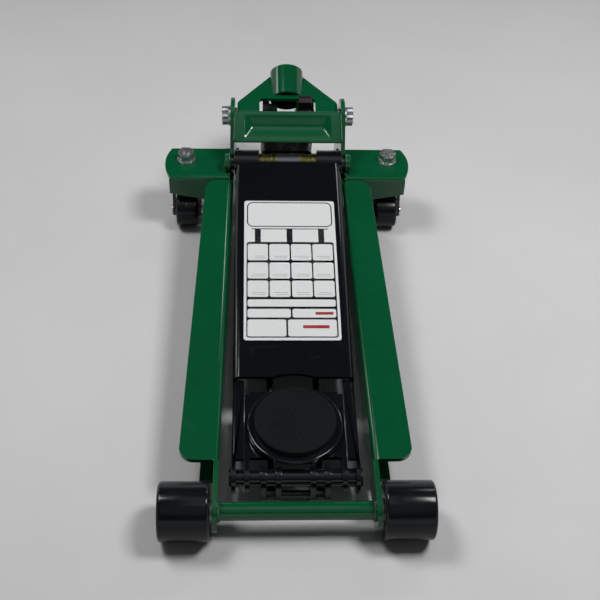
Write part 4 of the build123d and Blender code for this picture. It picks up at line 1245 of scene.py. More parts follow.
@dataclass
class Studio:
    """The pale floor, the soft light and the camera; lamps and floor are in metres."""

    camera_place: Triple = (-55.4, -725.9, 1143.0)
    pitch: float = 45.84
    yaw: float = 3.72
    roll: float = -2.77
    focal_pixels: float = 1100.0
    frame_pixels: float = 600.0
    sensor_width: float = 36.0
    view_end: float = 60.0
    floor_radius: float = 7.0
    floor_steps: int = 96
    floor_colour: Colour = tint(203, 203, 203)
    floor_rough: float = 0.62
    floor_specular: float = 0.25
    backdrop_colour: Colour = tint(192, 192, 193)
    room_colour: Colour = (0.96, 0.98, 1.0, 1.0)
    fade: Pair = (1.3, 3.4)
    lamps: tuple[Lamp, ...] = (
        Lamp("right_lamp", (0.85, -0.1, 1.8), (0.8, 0.1, 0.0), 0.6, 0.5, 23.0),
        Lamp("rear_right_lamp", (0.95, 1.6, 1.8), (0.1, -0.3, 0.0), 0.6, 0.2, 3.2),
        Lamp("left_lamp", (-0.8, 0.35, 1.8), (-0.5, -0.5, 0.0), 0.6, 0.6, 17.5),
        Lamp("front_ceiling", (0.03, -0.1, 2.75), (0.03, -0.1, 0.0), 0.6, 1.7, 1.5),
        Lamp("left_window", (-3.4, 2.2, 2.0), (0.0, 0.3, 0.1), 0.35, 0.9, 4.5),
        Lamp("rear_right_window", (2.6, 3.2, 1.9), (0.0, 0.0, 0.1), 0.26, 0.8, 6.0),
        Lamp("rear_left_window", (-2.6, 3.2, 1.9), (0.0, 0.0, 0.1), 0.26, 0.8, 6.0))

    def set_camera(self) -> None:
        """Puts the camera where the photograph was taken from."""
        pitch, yaw, roll = (math.radians(angle) for angle in (self.pitch, self.yaw, self.roll))
        ahead = Vector((math.sin(yaw) * math.cos(pitch), math.cos(yaw) * math.cos(pitch), -math.sin(pitch)))
        level = Vector((math.cos(yaw), -math.sin(yaw), 0.0))
        down = ahead.cross(level)
        right = level * math.cos(roll) + down * math.sin(roll)
        below = down * math.cos(roll) - level * math.sin(roll)
        data = bpy.data.cameras.new("camera")
        data.sensor_width = self.sensor_width
        data.lens = self.sensor_width * self.focal_pixels / self.frame_pixels
        data.clip_end = self.view_end
        camera = bpy.data.objects.new("camera", data)
        facing = Matrix((right, -below, -ahead)).transposed().to_4x4()
        camera.matrix_world = Matrix.Translation(spot(*self.camera_place)) @ facing
        bpy.context.scene.collection.objects.link(camera)
        bpy.context.scene.camera = camera

    def lay_floor(self) -> None:
        """Lays a round pale floor with faint clouds, which fades into the backdrop far out."""
        work = bmesh.new()
        bmesh.ops.create_circle(work, cap_ends=True, segments=self.floor_steps, radius=self.floor_radius)
        mesh = emptied(work, bpy.data.meshes.new("floor"))
        floor = bpy.data.objects.new("floor", mesh)
        bpy.context.scene.collection.objects.link(floor)
        material = bpy.data.materials.new("pale_floor")
        material.use_nodes = True
        graph = Graph(material.node_tree)
        shader = material.node_tree.nodes["Principled BSDF"]
        place = graph.place()
        clouds = graph.remap(graph.noise(place, 2.2, 5.0, 0.6), 0.35, 0.65)
        darker = tuple(level * 0.94 for level in self.floor_colour[:3]) + (1.0,)
        graph.feed(shader.inputs["Base Color"], graph.blend(clouds, self.floor_colour, darker))
        shader.inputs["Roughness"].default_value = self.floor_rough
        shader.inputs["Specular IOR Level"].default_value = self.floor_specular
        pale = graph.add("Emission")
        pale.inputs["Color"].default_value = self.backdrop_colour
        far = graph.scaled(self.looked_at(graph), graph.remap(graph.vector("DISTANCE", place), *self.fade))
        output = material.node_tree.nodes["Material Output"]
        graph.feed(output.inputs["Surface"], graph.mixed(far, shader, pale))
        mesh.materials.append(material)

    @staticmethod
    def looked_at(graph: Graph) -> Socket:
        """Gives 1 for what the camera, a mirror or a glass sees."""
        rays = graph.add("LightPath").outputs
        return graph.total(rays["Is Camera Ray"], rays["Is Glossy Ray"], rays["Is Transmission Ray"])

    def light(self) -> None:
        """Hangs the lamps and fills the room with dim light."""
        for lamp in self.lamps:
            lamp.hang()
        world = bpy.data.worlds.new("room")
        bpy.context.scene.world = world
        world.use_nodes = True
        graph = Graph(world.node_tree)
        direction = graph.add("TexCoord").outputs["Generated"]
        above, level, behind = (
            graph.vector("DOT_PRODUCT", direction, towards)
            for towards in ((0.0, -0.45, 0.89), (0.0, 0.0, 1.0), (0.0, 1.0, 0.0)))
        far_wall = graph.scaled(graph.remap(behind, 0.7, 0.95, 0.0, 2.2), graph.remap(level, 0.17, 0.05))
        glow = graph.total(
            graph.remap(above, 0.88, 0.985, 0.01, 0.2), graph.remap(level, 0.3, 0.1, 0.0, 0.35), far_wall)
        backdrop = world.node_tree.nodes["Background"]
        backdrop.inputs["Color"].default_value = self.backdrop_colour
        room = graph.add("Background")
        room.inputs["Color"].default_value = self.room_colour
        graph.feed(room.inputs["Strength"], glow)
        seen = graph.scaled(self.looked_at(graph), graph.remap(level, 0.45, 0.3))
        output = world.node_tree.nodes["World Output"]
        graph.feed(output.inputs["Surface"], graph.mixed(seen, room, backdrop))

    def build(self) -> None:
        """Sets up the whole studio."""
        bpy.context.scene.view_settings.view_transform = "Standard"
        self.set_camera()
        self.lay_floor()
        self.light()


@dataclass
class Chassis:
    """The side plates, their cross tube and axle, the wings and their welds."""

    half_width: float = 99.5
    plate: float = 6.0
    tube_radius: float = 11.2
    axle_height: float = 35.5
    cap_radius: float = 12.5
    wing_front: float = 540.0
    wing_rear: float = 608.5
    wing_sheet: float = 5.0
    tube_bead: float = 2.4
    cap_bead: float = 1.6
    wing_bead: float = 1.9

    def web(self, y: float) -> float:
        """The side plate's outer face at a distance from the axle."""
        return self.half_width - y * math.tan(TOE_IN)

    def build(self, bench: Bench) -> None:
        """Builds and dresses the frame's own pieces.

        Args:
            bench: What makes and dresses the pieces.
        """
        paints = bench.palette
        bench.soften(paints.green, 0.5, "side_plate_left", "side_plate_right")
        bench.soften(paints.green, 0.7, "caster_wing_left", "caster_wing_right")
        bench.paint(paints.green, "front_cross_tube")
        bench.soften(paints.green, 1.2, "arm_shaft_caps")
        axle = paints.steel("axle_steel", (0, 0, self.axle_height), Axis.X)
        bench.paint(axle, "front_axle", "front_axle_retainers")
        dark = paints.steel("shaft_steel", (0, *HINGE), Axis.X, tint(58, 58, 60), tint(30, 30, 32), 0.3)
        bench.paint(dark, "arm_shaft")
        for side, label in SIDES:
            self.weld_side(bench, side, label)

    def weld_side(self, bench: Bench, side: int, label: str) -> None:
        """Lays one side's weld beads.

        Args:
            bench: What makes and dresses the pieces.
            side: 1 for the right side, -1 for the left.
            label: The side's name.
        """
        green = bench.palette.green
        inner = self.web(0) - self.plate - 0.3
        circle = [
            spot(side * inner, back, self.axle_height + up)
            for back, up in round_points(self.tube_radius, 48)]
        bench.dress(bench.weld(f"tube_weld_{label}", circle, self.tube_bead, True), green, body="frame")
        reach = self.web(HINGE[0]) + 0.4
        circle = [
            spot(side * (reach - back * math.tan(TOE_IN)), HINGE[0] + back, HINGE[1] + up)
            for back, up in round_points(self.cap_radius, 48)]
        bench.dress(bench.weld(f"cap_weld_{label}", circle, self.cap_bead, True), green, body="frame")
        for name, height, start, end in (
            ("wing_top_weld", WING_TOP, self.wing_front + 4, self.wing_rear - 3),
            ("wing_under_weld", WING_TOP - self.wing_sheet, self.wing_front + 8, self.wing_rear - 4)):
            line = [spot(side * self.web(y), y, height) for y in (start, (start + end) / 2, end)]
            bench.dress(bench.weld(f"{name}_{label}", line, self.wing_bead), green, body="frame")


@dataclass
class CrossPanel:
    """The pressed panel between the ears, with its long shallow pan."""

    front: Pair = (571.0, 139.0)
    rear: Pair = (608.0, 169.0)
    sheet: float = 4.0
    pan_half_width: float = 64.5
    pan_start: float = 4.5
    pan_end: float = 41.0
    pan_deepest: float = 24.5
    pan_end_slope: float = 12.5
    pan_depth: float = 7.0
    rear_bend: float = 3.2
    hole_radius: float = 2.5
    inner_half_width: float = 93.5
    pan_softness: float = 0.09
    edge: float = 1.6
    bead: float = 1.7
    columns: int = 150
    rows: int = 46

    @property
    def run(self) -> float:
        """How far the sheet reaches back."""
        return self.rear[0] - self.front[0]

    @property
    def rise(self) -> float:
        """How far the sheet climbs."""
        return self.rear[1] - self.front[1]

    @property
    def length(self) -> float:
        """The sheet's length up its slope."""
        return math.hypot(self.run, self.rise)

    def half(self, up: float) -> float:
        """The sheet's half width at a distance up its slope."""
        return self.inner_half_width - (self.front[0] + up * self.run / self.length) * math.tan(TOE_IN)

    def depth(self, across: float, up: float) -> float:
        """How deep the pan is at a place on the sheet.

        Args:
            across: Millimetres from the middle.
            up: Millimetres from the front edge.

        Returns:
            The depth in millimetres.
        """
        rear = (self.pan_end - up) / (self.pan_end - self.pan_deepest)
        front = (up - self.pan_start) / (self.pan_deepest - self.pan_start)
        side = (self.pan_half_width - abs(across)) / self.pan_end_slope
        shares = [math.exp(-max(-1.0, share) / self.pan_softness) for share in (rear, front, side, 1.0)]
        share = max(0.0, -self.pan_softness * math.log(sum(shares)))
        return self.pan_depth * (share * share / (share + 0.08))

    def place(self, across: float, up: float, over: float) -> Vector:
        """A point of the sheet in the row frame.

        Args:
            across: Millimetres from the middle.
            up: Millimetres from the front edge.
            over: Millimetres over the upper face.

        Returns:
            The point.
        """
        back = (up * self.run - over * self.rise) / self.length
        high = (up * self.rise + over * self.run) / self.length
        return spot(across, self.front[0] + back, self.front[1] + high)

    def build(self, bench: Bench) -> None:
        """Builds the panel, its drain hole and its weld seams.

        Args:
            bench: What makes and dresses the pieces.
        """
        bench.dress(self.pressing(bench), bench.palette.green, ("rear_cross_panel",))
        profile = [(0.01, -0.05), (self.hole_radius - 0.3, -0.02), (self.hole_radius, 0.12),
                   (self.hole_radius + 0.5, 0.1), (self.hole_radius + 0.8, -0.1)]
        hole = bench.turned("drain_hole", profile, Axis.Z, Vector(), 40)
        tilt = Matrix.Rotation(math.atan2(self.rise, self.run), 4, "X")
        middle = self.place(0.0, self.pan_deepest, -self.depth(0.0, self.pan_deepest))
        hole.data.transform(Matrix.Translation(middle) @ tilt)
        bench.dress(hole, bench.palette.rubber, body="frame")
        for side, label in SIDES:
            line = [
                self.place(side * (self.half(up) - 0.3), up, 0.4 - self.depth(78.0, up))
                for up in (2.0, 12.0, 24.0, 36.0, self.length - 2.0)]
            bench.dress(
                bench.weld(f"panel_weld_{label}", line, self.bead), bench.palette.green, body="frame")

    def pressing(self, bench: Bench) -> Piece:
        """Presses the sheet, with its pan and its bent rear edge.

        Args:
            bench: What makes the pieces.

        Returns:
            The sheet.
        """
        flat_end = self.length - self.rear_bend
        levels = [(0.0, self.edge), (0.35, self.edge * 0.35), (1.0, 0.0)]
        levels += [
            (self.edge + (flat_end - self.edge) * row / self.rows, 0.0) for row in range(self.rows + 1)]
        levels += [
            (flat_end + self.rear_bend * sine, self.rear_bend * (1 - cosine))
            for sine, cosine in quarter(9)[1:]]
        points: list[Vector] = []
        for upper in (True, False):
            for up, drop in levels:
                below = drop if upper else self.sheet - min(drop, 0.5)
                for column in range(self.columns + 1):
                    across = self.half(up) * (2 * column / self.columns - 1)
                    points.append(self.place(across, up, -self.depth(across, up) - below))
        wide, tall = self.columns + 1, len(levels)
        under = wide * tall
        faces: Faces = []
        for base in (0, under):
            for row in range(tall - 1):
                for column in range(self.columns):
                    corner = base + row * wide + column
                    faces.append((corner, corner + 1, corner + wide + 1, corner + wide))
        for column in range(self.columns):
            for row in (0, tall - 1):
                corner = row * wide + column
                faces.append((corner, corner + 1, under + corner + 1, under + corner))
        for row in range(tall - 1):
            for column in (0, self.columns):
                corner = row * wide + column
                faces.append((corner, corner + wide, under + corner + wide, under + corner))
        return bench.from_faces("cross_panel_pressing", points, faces, 50.0)


@dataclass
class LiftArm:
    """The lifting arm with its cover, levers, pins and tubes."""

    roller_pin: Pair = (588.49, 51.94)
    anchor: Pair = (552.0, 88.0)

    def build(self, bench: Bench) -> None:
        """Builds and dresses the arm's pieces.

        Args:
            bench: What makes and dresses the pieces.
        """
        paints = bench.palette
        bench.soften(paints.black, 0.6, "lift_arm_channel", "arm_levers")
        bench.paint(paints.black, "arm_cross_tubes", "arm_hinge_tubes", "arm_spacers")
        oxide = paints.steel(
            "pin_steel", (0, *FRONT_PIN), Axis.X, tint(44, 45, 47), tint(26, 27, 28), 0.36)
        bench.paint(oxide, "front_pin")
        bench.paint(paints.steel("lever_steel", (0, *self.roller_pin), Axis.X), "lever_pin", "lever_roller")
        bench.paint(paints.steel("anchor_steel", (0, *self.anchor), Axis.X), "anchor_pin")
        sleeve = paints.steel(
            "shaft_sleeve_steel", (0, *HINGE), Axis.X, tint(84, 87, 94), tint(50, 51, 56), 0.36)
        bench.paint(sleeve, "shaft_sleeve")
        # The rod anchors take the yellow zinc that is darkened with painted shade.
        bench.soften(paints.shaded_yellow, 0.4, "rod_anchors")
        bench.soften(paints.iron, 0.4, "level_rod_left", "level_rod_right")
        bench.paint(paints.iron, "level_pin")


@dataclass
class InfoLabel:
    """The film on the cover: a blank form with a header box, pillars and empty cells."""

    front_y: float = 232.0
    cover_rise: float = 14.0
    length: float = 242.0
    half_width: float = 64.0
    sheet: float = 0.5
    ink: float = 0.06
    corner: float = 4.0
    pillars: Triple = (-45.0, -0.6, 43.6)
    boxes: tuple[Box, ...] = (
        (-59.0, 6.0, -8.0, 33.2), (-5.6, 6.0, 58.6, 33.2), (-59.0, 36.4, -1.6, 50.6), (0.6, 36.4, 58.6, 50.6),
        (-59.0, 54.4, 58.8, 66.2))
    cell_rows: tuple[Pair, ...] = ((70.4, 98.0), (101.5, 129.3), (133.1, 162.0))
    cell_lefts: tuple[float, ...] = (-59.0, -29.2, 0.8, 30.6)
    cell_width: float = 28.0

    @staticmethod
    def outline(low: Pair, high: Pair, radius: float) -> list[Pair]:
        """A rectangle with round corners.

        Args:
            low: Its lowest corner across and along, in millimetres.
            high: Its highest corner.
            radius: Its corner radius.

        Returns:
            Its points in order.
        """
        points = []
        for x, y, start in (
            (high[0] - radius, high[1] - radius, 0), (low[0] + radius, high[1] - radius, 90),
            (low[0] + radius, low[1] + radius, 180), (high[0] - radius, low[1] + radius, 270)):
            for step in range(9):
                turn = math.radians(start + 90 * step / 8)
                points.append((x + radius * math.cos(turn), y + radius * math.sin(turn)))
        return points

    def place(self, across: float, along: float, over: float) -> Vector:
        """A point of the film in the row frame.

        Args:
            across: Millimetres from the middle.
            along: Millimetres from the front edge.
            over: Millimetres over the cover.

        Returns:
            The point.
        """
        back, up = HINGE[0] - FRONT_PIN[0], HINGE[1] - FRONT_PIN[1]
        slope = math.atan2(up, back)
        run, rise = math.cos(slope), math.sin(slope)
        front_z = FRONT_PIN[1] + (self.front_y - FRONT_PIN[0]) * up / back + self.cover_rise
        return spot(across, self.front_y + along * run - over * rise, front_z + along * rise + over * run)

    def slab(self, bench: Bench, name: str, rings: Sequence[list[Pair]], low: float, high: float) -> Piece:
        """A thin slab from one outline, or from an outer and an inner one.

        Args:
            bench: What makes the pieces.
            name: The slab's name.
            rings: One outline, or two with as many points each.
            low: Its underside over the cover in millimetres.
            high: Its upper side.

        Returns:
            The slab.
        """
        count = len(rings[0])
        points = [self.place(x, y, over) for over in (high, low) for ring in rings for x, y in ring]
        layer = count * len(rings)
        faces: Faces = []
        if len(rings) == 1:
            faces.append(list(range(count)))
            faces.append(list(range(layer, layer + count)))
        for step in range(count):
            after = (step + 1) % count
            if len(rings) == 2:
                for base in (0, layer):
                    faces.append((base + step, base + after, base + count + after, base + count + step))
                faces.append((count + step, count + after, layer + count + after, layer + count + step))
            faces.append((step, after, layer + after, layer + step))
        return bench.from_faces(name, points, faces, 30.0)

    @staticmethod
    def join(name: str, slabs: Sequence[Piece]) -> Piece:
        """Joins slabs into one piece.

        Args:
            name: The joined piece's name.
            slabs: The slabs.

        Returns:
            The piece.
        """
        work = bmesh.new()
        for slab in slabs:
            work.from_mesh(slab.data)
        for slab in slabs:
            bpy.data.objects.remove(slab)
        return Bench.piece(name, emptied(work, bpy.data.meshes.new(name)), 30.0)

    def build(self, bench: Bench) -> None:
        """Builds the film and its print.

        Args:
            bench: What makes and dresses the pieces.
        """
        white = Film("label_film", "label", tint(213, 214, 215), faded=tint(205, 206, 206), rough=0.32)
        black = Film("label_black_ink", "label", tint(20, 23, 27), faded=tint(28, 30, 33), rough=0.26)
        grey = Film("label_grey_ink", "label", tint(150, 151, 153), faded=tint(168, 169, 170), rough=0.3)
        red = Film("label_red_ink", "label", tint(150, 26, 32), faded=tint(160, 50, 52), rough=0.3)
        low = self.sheet - 0.05

        def printed(name: str, start: Pair, end: Pair, radius: float, coats: int = 1) -> Piece:
            """Prints one shape on the film, in one to three coats of ink."""
            base = low if coats == 1 else self.sheet
            return self.slab(
                bench, name, [self.outline(start, end, radius)], base, self.sheet + self.ink * coats)

        edge = self.outline((-self.half_width, 0.0), (self.half_width, self.length), self.corner)
        bench.dress(self.slab(bench, "label_film", [edge], 0.0, self.sheet), white, ("label_plate",))
        form = [printed("panel", (-60.5, 4.2), (60.5, 165.8), 4.0)]
        for centre in self.pillars:
            form.append(printed("pillar", (centre - 4.1, 164.0), (centre + 4.1, 190.2), 0.4))
        form.append(printed("rule", (-54.0, 189.0), (54.0, 190.4), 0.4))
        header = [
            self.outline((-60.2, 193.4), (60.2, 239.4), 9.0),
            self.outline((-58.6, 195.0), (58.6, 237.8), 7.4)]
        form.append(self.slab(bench, "header", header, low, self.sheet + self.ink))
        bench.dress(self.join("label_black_print", form), black, body="lift_arm")
        blanks = [printed("cell", box[:2], box[2:], 3.0, 2) for box in self.boxes]
        rules = []
        dice = random.Random(7)
        for front, rear in self.cell_rows:
            for left in self.cell_lefts:
                right = left + self.cell_width
                blanks.append(printed("cell", (left, front), (right, rear), 3.0, 2))
                for y in (front + 4.0, front + 7.0):
                    start = left + 3.5 + dice.uniform(0.0, 7.0)
                    rules.append(printed("rule", (start, y), (right - 3.5, y + 0.7), 0.3, 3))
        bench.dress(self.join("label_cells", blanks), white, body="lift_arm")
        bench.dress(self.join("label_rules", rules), grey, body="lift_arm")
        bars = [
            printed("bar", (14.0, 19.0), (49.0, 24.0), 1.0, 3),
            printed("bar", (31.0, 41.0), (55.0, 45.5), 1.0, 3)]
        bench.dress(self.join("label_red_bars", bars), red, body="lift_arm")


@dataclass
class Saddle:
    """The saddle with its rubber pad, its dish, its bracket and its clip."""

    centre_y: float = 106.0
    pad_radius: float = 51.2
    pad_low: float = 62.3
    pad_high: float = 75.0
    dimple_pitch: float = 8.4
    dimple_radius: float = 1.7
    dimple_depth: float = 1.0
    plain_width: float = 8.5
    rim_height: float = 0.9
    rounding: float = 2.5

    def height(self, x: float, y: float) -> float:
        """The pad's upper face at a place.

        Args:
            x: Millimetres right of the middle.
            y: Millimetres behind the middle.

        Returns:
            The height over the floor in millimetres.
        """
        radius = math.hypot(x, y)
        rim = self.pad_radius - 5.2
        top = self.pad_high - self.rim_height * smooth_step(rim, rim - 1.4, radius)
        if radius < self.pad_radius - self.plain_width:
            row_pitch = self.dimple_pitch * 0.866
            row = round(y / row_pitch)
            column = x / self.dimple_pitch - (0.5 if row % 2 else 0.0)
            away = math.hypot((column - round(column)) * self.dimple_pitch, y - row * row_pitch)
            top -= self.dimple_depth * smooth_step(self.dimple_radius, self.dimple_radius * 0.5, away)
        over = radius - (self.pad_radius - self.rounding)
        if over > 0:
            top -= self.rounding - math.sqrt(max(0.0, self.rounding ** 2 - over ** 2))
        return top

    def build(self, bench: Bench) -> None:
        """Builds and dresses the saddle's pieces.

        Args:
            bench: What makes and dresses the pieces.
        """
        rings, steps = 92, 240
        points = [
            spot(x, self.centre_y + y, self.height(x, y))
            for ring in range(rings + 1) for x, y in round_points(self.pad_radius * ring / rings, steps)]
        points += [
            spot(x, self.centre_y + y, self.pad_low) for x, y in round_points(self.pad_radius, steps)]
        faces = ring_faces(rings + 2, steps)
        faces.append([(rings + 1) * steps + step for step in range(steps)])
        pad = bench.from_faces("pad_moulding", points, faces, 50.0)
        bench.dress(pad, bench.palette.rubber, ("saddle_pad",))
        bench.soften(bench.palette.black, 0.5, "saddle_dish", "saddle_bracket", "bracket_tube")
        bench.paint(bench.palette.spring, "saddle_clip")


@dataclass
class FrontRollers:
    """The two wide rollers on the front axle."""

    radius: float = 35.5
    inner_x: float = 102.5
    width: float = 61.0
    edge: float = 4.2
    recess_radius: float = 21.0
    recess_depth: float = 8.0
    bush_radius: float = 12.0
    lip_radius: float = 1.2
    groove: float = 0.35

    def profile(self) -> list[Pair]:
        """The roller's section.

        Returns:
            Pairs of radius and place along the axle from the roller's inner end.
        """
        rim, edge, width = self.radius, self.edge, self.width
        points = [
            (self.bush_radius, 0.0), (rim - 9.0, 0.0), (rim - 8.6, self.groove), (rim - 5.6, self.groove),
            (rim - 5.2, 0.0)]
        points += [(rim - edge + edge * sine, edge - edge * cosine) for sine, cosine in quarter(8)]
        points += [(rim - edge + edge * cosine, width - edge + edge * sine) for sine, cosine in quarter(8)]
        lip, floor = self.recess_radius + self.lip_radius, width - self.recess_depth
        points += [
            (lip + 7.0, width), (lip + 6.6, width - self.groove), (lip + 3.4, width - self.groove),
            (lip + 3.0, width)]
        points += [
            (lip - self.lip_radius * sine, width - self.lip_radius + self.lip_radius * cosine)
            for sine, cosine in quarter(6)]
        points += [
            (self.recess_radius - 0.4, floor + 1.5), (self.recess_radius - 1.9, floor),
            (self.bush_radius, floor), (self.bush_radius, 0.0)]
        return points

    def build(self, bench: Bench) -> None:
        """Builds both rollers and their bushes.

        Args:
            bench: What makes and dresses the pieces.
        """
        bronze = Turned(
            "bush_bronze", "bronze", tint(150, 112, 62), centre=(0, 0, self.radius), axis=Axis.X,
            stain=tint(80, 58, 34), rough=0.34)
        for side, label in SIDES:
            section = [(radius, side * along) for radius, along in self.profile()]
            centre = spot(side * self.inner_x, 0.0, self.radius)
            roller = bench.turned(f"roller_turning_{label}", section, Axis.X, centre, 144, 24.0)
            bench.dress(roller, bench.palette.roller, (f"front_roller_{label}",))
            bench.paint(bronze, f"front_roller_bush_{label}")


@dataclass
class RearCasters:
    """The swivel casters under the wings, with their stems, nuts and balls."""

    stem_x: float = 151.495
    stem_y: float = 582.8
    washer_radius: float = 14.0
    washer_sheet: float = 2.5
    nut_flats: float = 22.0
    nut_height: float = 11.0
    stem_radius: float = 6.0
    thread_length: float = 5.02
    pitch: float = 1.75
    race_height: float = 80.0
    trail: float = 32.0
    wheel_radius: float = 25.0
    wheel_width: float = 32.0
    tread_rounding: float = 4.0
    hub_radius: float = 10.0
    hub_width: float = 34.4
    bore: float = 5.05

    def wheel_profile(self) -> list[Pair]:
        """The wheel's section.

        Returns:
            Pairs of radius and place along the axle from the wheel's middle.
        """
        half, end = self.wheel_width / 2, self.hub_width / 2
        rim, hub, round_off = self.wheel_radius, self.hub_radius, self.tread_rounding
        near = [
            (self.bore, end), (hub - 0.6, end), (hub, end - 0.6), (hub, half - 1.6), (hub + 1.2, half - 2.4),
            (rim - 6.6, half - 2.4), (rim - 5.4, half - 1.2), (rim - 5.0, half)]
        near += [
            (rim - round_off + round_off * sine, half - round_off + round_off * cosine)
            for sine, cosine in quarter(8)[1:8]]
        near += [(rim, half - round_off), (rim, 0.5), (rim - 0.12, 0.3)]
        far = [(radius, -along) for radius, along in reversed(near)]
        return near + far + [near[0]]

    def build(self, bench: Bench) -> None:
        """Builds and dresses both casters.

        Args:
            bench: What makes and dresses the pieces.
        """
        paints = bench.palette
        for side, label in SIDES:
            x = side * self.stem_x
            bench.soften(paints.iron, 0.5, f"caster_fork_{label}")
            centre = spot(x, self.stem_y - self.trail, self.wheel_radius)
            wheel = bench.turned(f"caster_tyre_{label}", self.wheel_profile(), Axis.X, centre, 96, 26.0)
            bench.dress(wheel, paints.tyre, (f"caster_wheel_{label}",))
            bench.paint(paints.zinc, f"caster_axle_{label}")
            self.stem(bench, x, label)
        race = paints.steel("race_steel", (self.stem_x, self.stem_y, self.race_height), Axis.Z)
        bench.paint(race, "caster_races", "caster_balls")
        bench.paint(paints.zinc, "caster_stem_bolts")

    def stem(self, bench: Bench, x: float, label: str) -> None:
        """Builds the washer, nut and thread over one wing.

        Args:
            bench: What makes and dresses the pieces.
            x: The stem's place across the jack.
            label: left or right.
        """
        outer, sheet = self.washer_radius, self.washer_sheet
        top = WING_TOP + sheet
        section = [
            (self.stem_radius, 0.0), (outer - 0.5, 0.0), (outer + 0.06, 0.7), (outer + 0.06, sheet - 0.7),
            (outer - 0.6, sheet + 0.02), (self.stem_radius, sheet + 0.02)]
        on_washer, on_wing, on_nut = (
            spot(x, self.stem_y, z) for z in (top + 0.02, WING_TOP + 0.01, top + self.nut_height - 2.0))
        nut = bench.hexagon(
            f"caster_nut_{label}", Axis.Z, on_washer, self.nut_flats + 0.12, self.nut_height + 0.06,
            self.stem_radius)
        washer = bench.turned(f"caster_washer_{label}", section, Axis.Z, on_wing, 72)
        thread = bench.thread(
            f"caster_stem_thread_{label}", on_nut, self.stem_radius + 0.04, self.thread_length, self.pitch)
        for piece in (nut, washer, thread):
            bench.dress(piece, bench.palette.zinc, body="frame")


@dataclass
class HydraulicUnit:
    """The pump block with its ram, tank, plunger and valve."""

    ram: Triple = (0.0, 600.0, 0.0)
    plunger: Triple = (27.0, 650.0, 100.0)

    def build(self, bench: Bench) -> None:
        """Builds and dresses the unit's pieces.

        Args:
            bench: What makes and dresses the pieces.
        """
        paints = bench.palette
        bench.soften(paints.iron, 0.7, "pump_block")
        bench.soften(paints.black, 0.6, "oil_tank", "gland_nut")
        bench.paint(paints.iron, "cylinder_tube")
        bench.paint(paints.zinc, "filler_plug", "trunnion_bolts")
        chrome = Turned(
            "ram_chrome", "hard_chrome", tint(214, 216, 220), centre=self.ram, axis=Axis.Y,
            stain=tint(150, 150, 152), rough=0.12, stain_share=0.2)
        bench.paint(chrome, "ram_rod")
        dark = paints.steel(
            "plunger_steel", self.plunger, Axis.Z, tint(112, 96, 98), tint(58, 46, 48), 0.36)
        bench.paint(dark, "pump_plunger")
        bench.soften(paints.iron, 0.4, "release_valve")
        bench.paint(paints.spring, "plunger_spring")


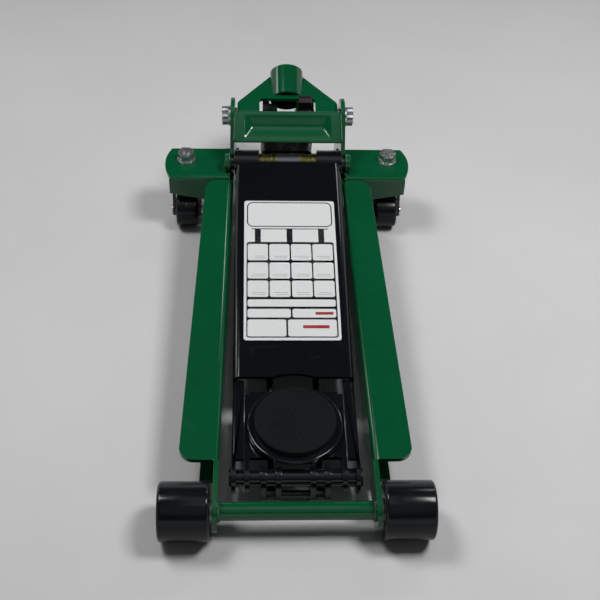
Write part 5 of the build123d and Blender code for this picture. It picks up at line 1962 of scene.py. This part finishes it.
@dataclass
class HandleYoke:
    """The pump handle's yoke with its socket, bolts and pump roller."""

    pivot: Pair = (622.0, 149.0)
    bolt_flats: float = 24.0
    bolt_head: float = 10.0
    washer_radius: float = 15.0
    washer_sheet: float = 3.0
    washer_start: float = 84.862
    socket_end: Pair = (666.321, 145.582)
    socket_tilt: float = math.radians(21.0)
    socket_radius: float = 25.0
    boot_length: float = 24.0
    bore_radius: float = 21.0
    plate_low: float = 153.9
    guard: Triple = (17.2, 36.8, 1.6)
    guard_edges: Box = (637.5, 650.2, 148.8, 166.5)
    guard_middle: Triple = (27.0, 644.0, 150.0)
    pump_roller: Triple = (27.0, 650.0, 136.0)

    def build(self, bench: Bench) -> None:
        """Builds and dresses the yoke's pieces.

        Args:
            bench: What makes and dresses the pieces.
        """
        paints = bench.palette
        bench.soften(paints.green, 0.7, "handle_yoke", "handle_socket")
        bench.paint(paints.zinc, "set_screw", "pump_roller_pin", "yoke_bolts")
        dark = paints.steel(
            "pump_roller_steel", self.pump_roller, Axis.X, tint(104, 88, 92), tint(60, 48, 50), 0.34)
        bench.paint(dark, "pump_roller")
        start = self.washer_start + self.washer_sheet + 0.02
        for side, label in SIDES:
            head = bench.hexagon(
                f"yoke_bolt_head_{label}", Axis.X, spot(side * start, *self.pivot), self.bolt_flats + 0.12,
                self.bolt_head + 0.06, outward=side)
            bench.dress(head, paints.zinc, body="frame")
        self.boot(bench)
        self.roller_guard(bench)

    def boot(self, bench: Bench) -> None:
        """Closes the socket's lower end with a moulded boot under the plate and a plug in its mouth.

        Args:
            bench: What makes and dresses the pieces.
        """
        edge, length, round_off = self.socket_radius + 0.08, self.boot_length, 1.6
        profile = [(0.01, -0.9), (6.0, -0.9), (7.0, -0.3), (10.0, -0.3), (11.0, -0.9), (edge - 2.4, -0.9)]
        profile += [
            (edge - round_off + round_off * sine, 0.7 - round_off * cosine) for sine, cosine in quarter(6)]
        for groove in (4.0, 8.0):
            profile += [(edge, groove - 0.5), (edge - 0.05, groove), (edge, groove + 0.5)]
        profile += [(edge, length - 0.5), (edge - 0.3, length), (self.socket_radius - 0.2, length)]
        piece = bench.turned("socket_boot", profile, Axis.Z, Vector())
        tilt = Matrix.Rotation(self.socket_tilt - math.pi / 2, 4, "X")
        lean = Matrix.Translation(spot(0.0, *self.socket_end)) @ tilt
        piece.data.transform(lean)
        work = bmesh.new()
        work.from_mesh(piece.data)
        bmesh.ops.bisect_plane(
            work, geom=work.verts[:] + work.edges[:] + work.faces[:], plane_co=spot(0.0, 0.0, self.plate_low),
            plane_no=(0.0, 0.0, 1.0), clear_outer=True)
        emptied(work, piece.data)
        bench.dress(piece, bench.palette.rubber, body="handle_yoke")
        mouth = self.bore_radius - 0.05
        profile = [(0.01, 0.6), (mouth - 0.75, 0.6), (mouth, 1.3), (mouth, 4.5), (0.01, 4.5)]
        plug = bench.turned("socket_plug", profile, Axis.Z, Vector(), 72)
        plug.data.transform(lean)
        bench.dress(plug, bench.palette.rubber, body="handle_yoke")

    def roller_guard(self, bench: Bench) -> None:
        """Folds the small guard that stands over the pump roller in the yoke's window.

        Args:
            bench: What makes and dresses the pieces.
        """
        left, right, sheet = self.guard
        front, rear, low, high = self.guard_edges
        outline = [
            (front, low), (front, high - 4.0), (front + 4.0, high), (rear, high), (rear, low),
            (rear - sheet, low), (rear - sheet, high - sheet), (front + 4.6, high - sheet),
            (front + sheet, high - 4.6), (front + sheet, low)]
        piece = bench.extruded("pump_roller_guard", outline, left, right, 0.5)
        steel = bench.palette.steel(
            "guard_steel", self.guard_middle, Axis.X, tint(70, 60, 64), tint(40, 33, 36), 0.4)
        bench.dress(piece, steel, body="handle_yoke")


@dataclass
class ReturnSprings:
    """The two springs that pull the arm down."""

    def build(self, bench: Bench) -> None:
        """Dresses the springs."""
        bench.paint(bench.palette.spring, "return_springs")


def main() -> None:
    """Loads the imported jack, dresses it and sets up the studio."""
    logging.basicConfig(level=logging.INFO, format="%(name)s: %(message)s")
    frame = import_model()
    Studio().build()
    bench = Bench(frame["nodes"], Palette(ShaderKit()))
    for assembly in (
            Chassis(), CrossPanel(), LiftArm(), InfoLabel(), Saddle(), FrontRollers(), RearCasters(),
            HydraulicUnit(), HandleYoke(), ReturnSprings()):
        before = set(bpy.data.objects)
        assembly.build(bench)
        made = sorted(piece.name for piece in set(bpy.data.objects) - before)
        LOG.info("%s: %s", type(assembly).__name__, ", ".join(made) or "packed nodes only")


if __name__ == "__main__":
    main()
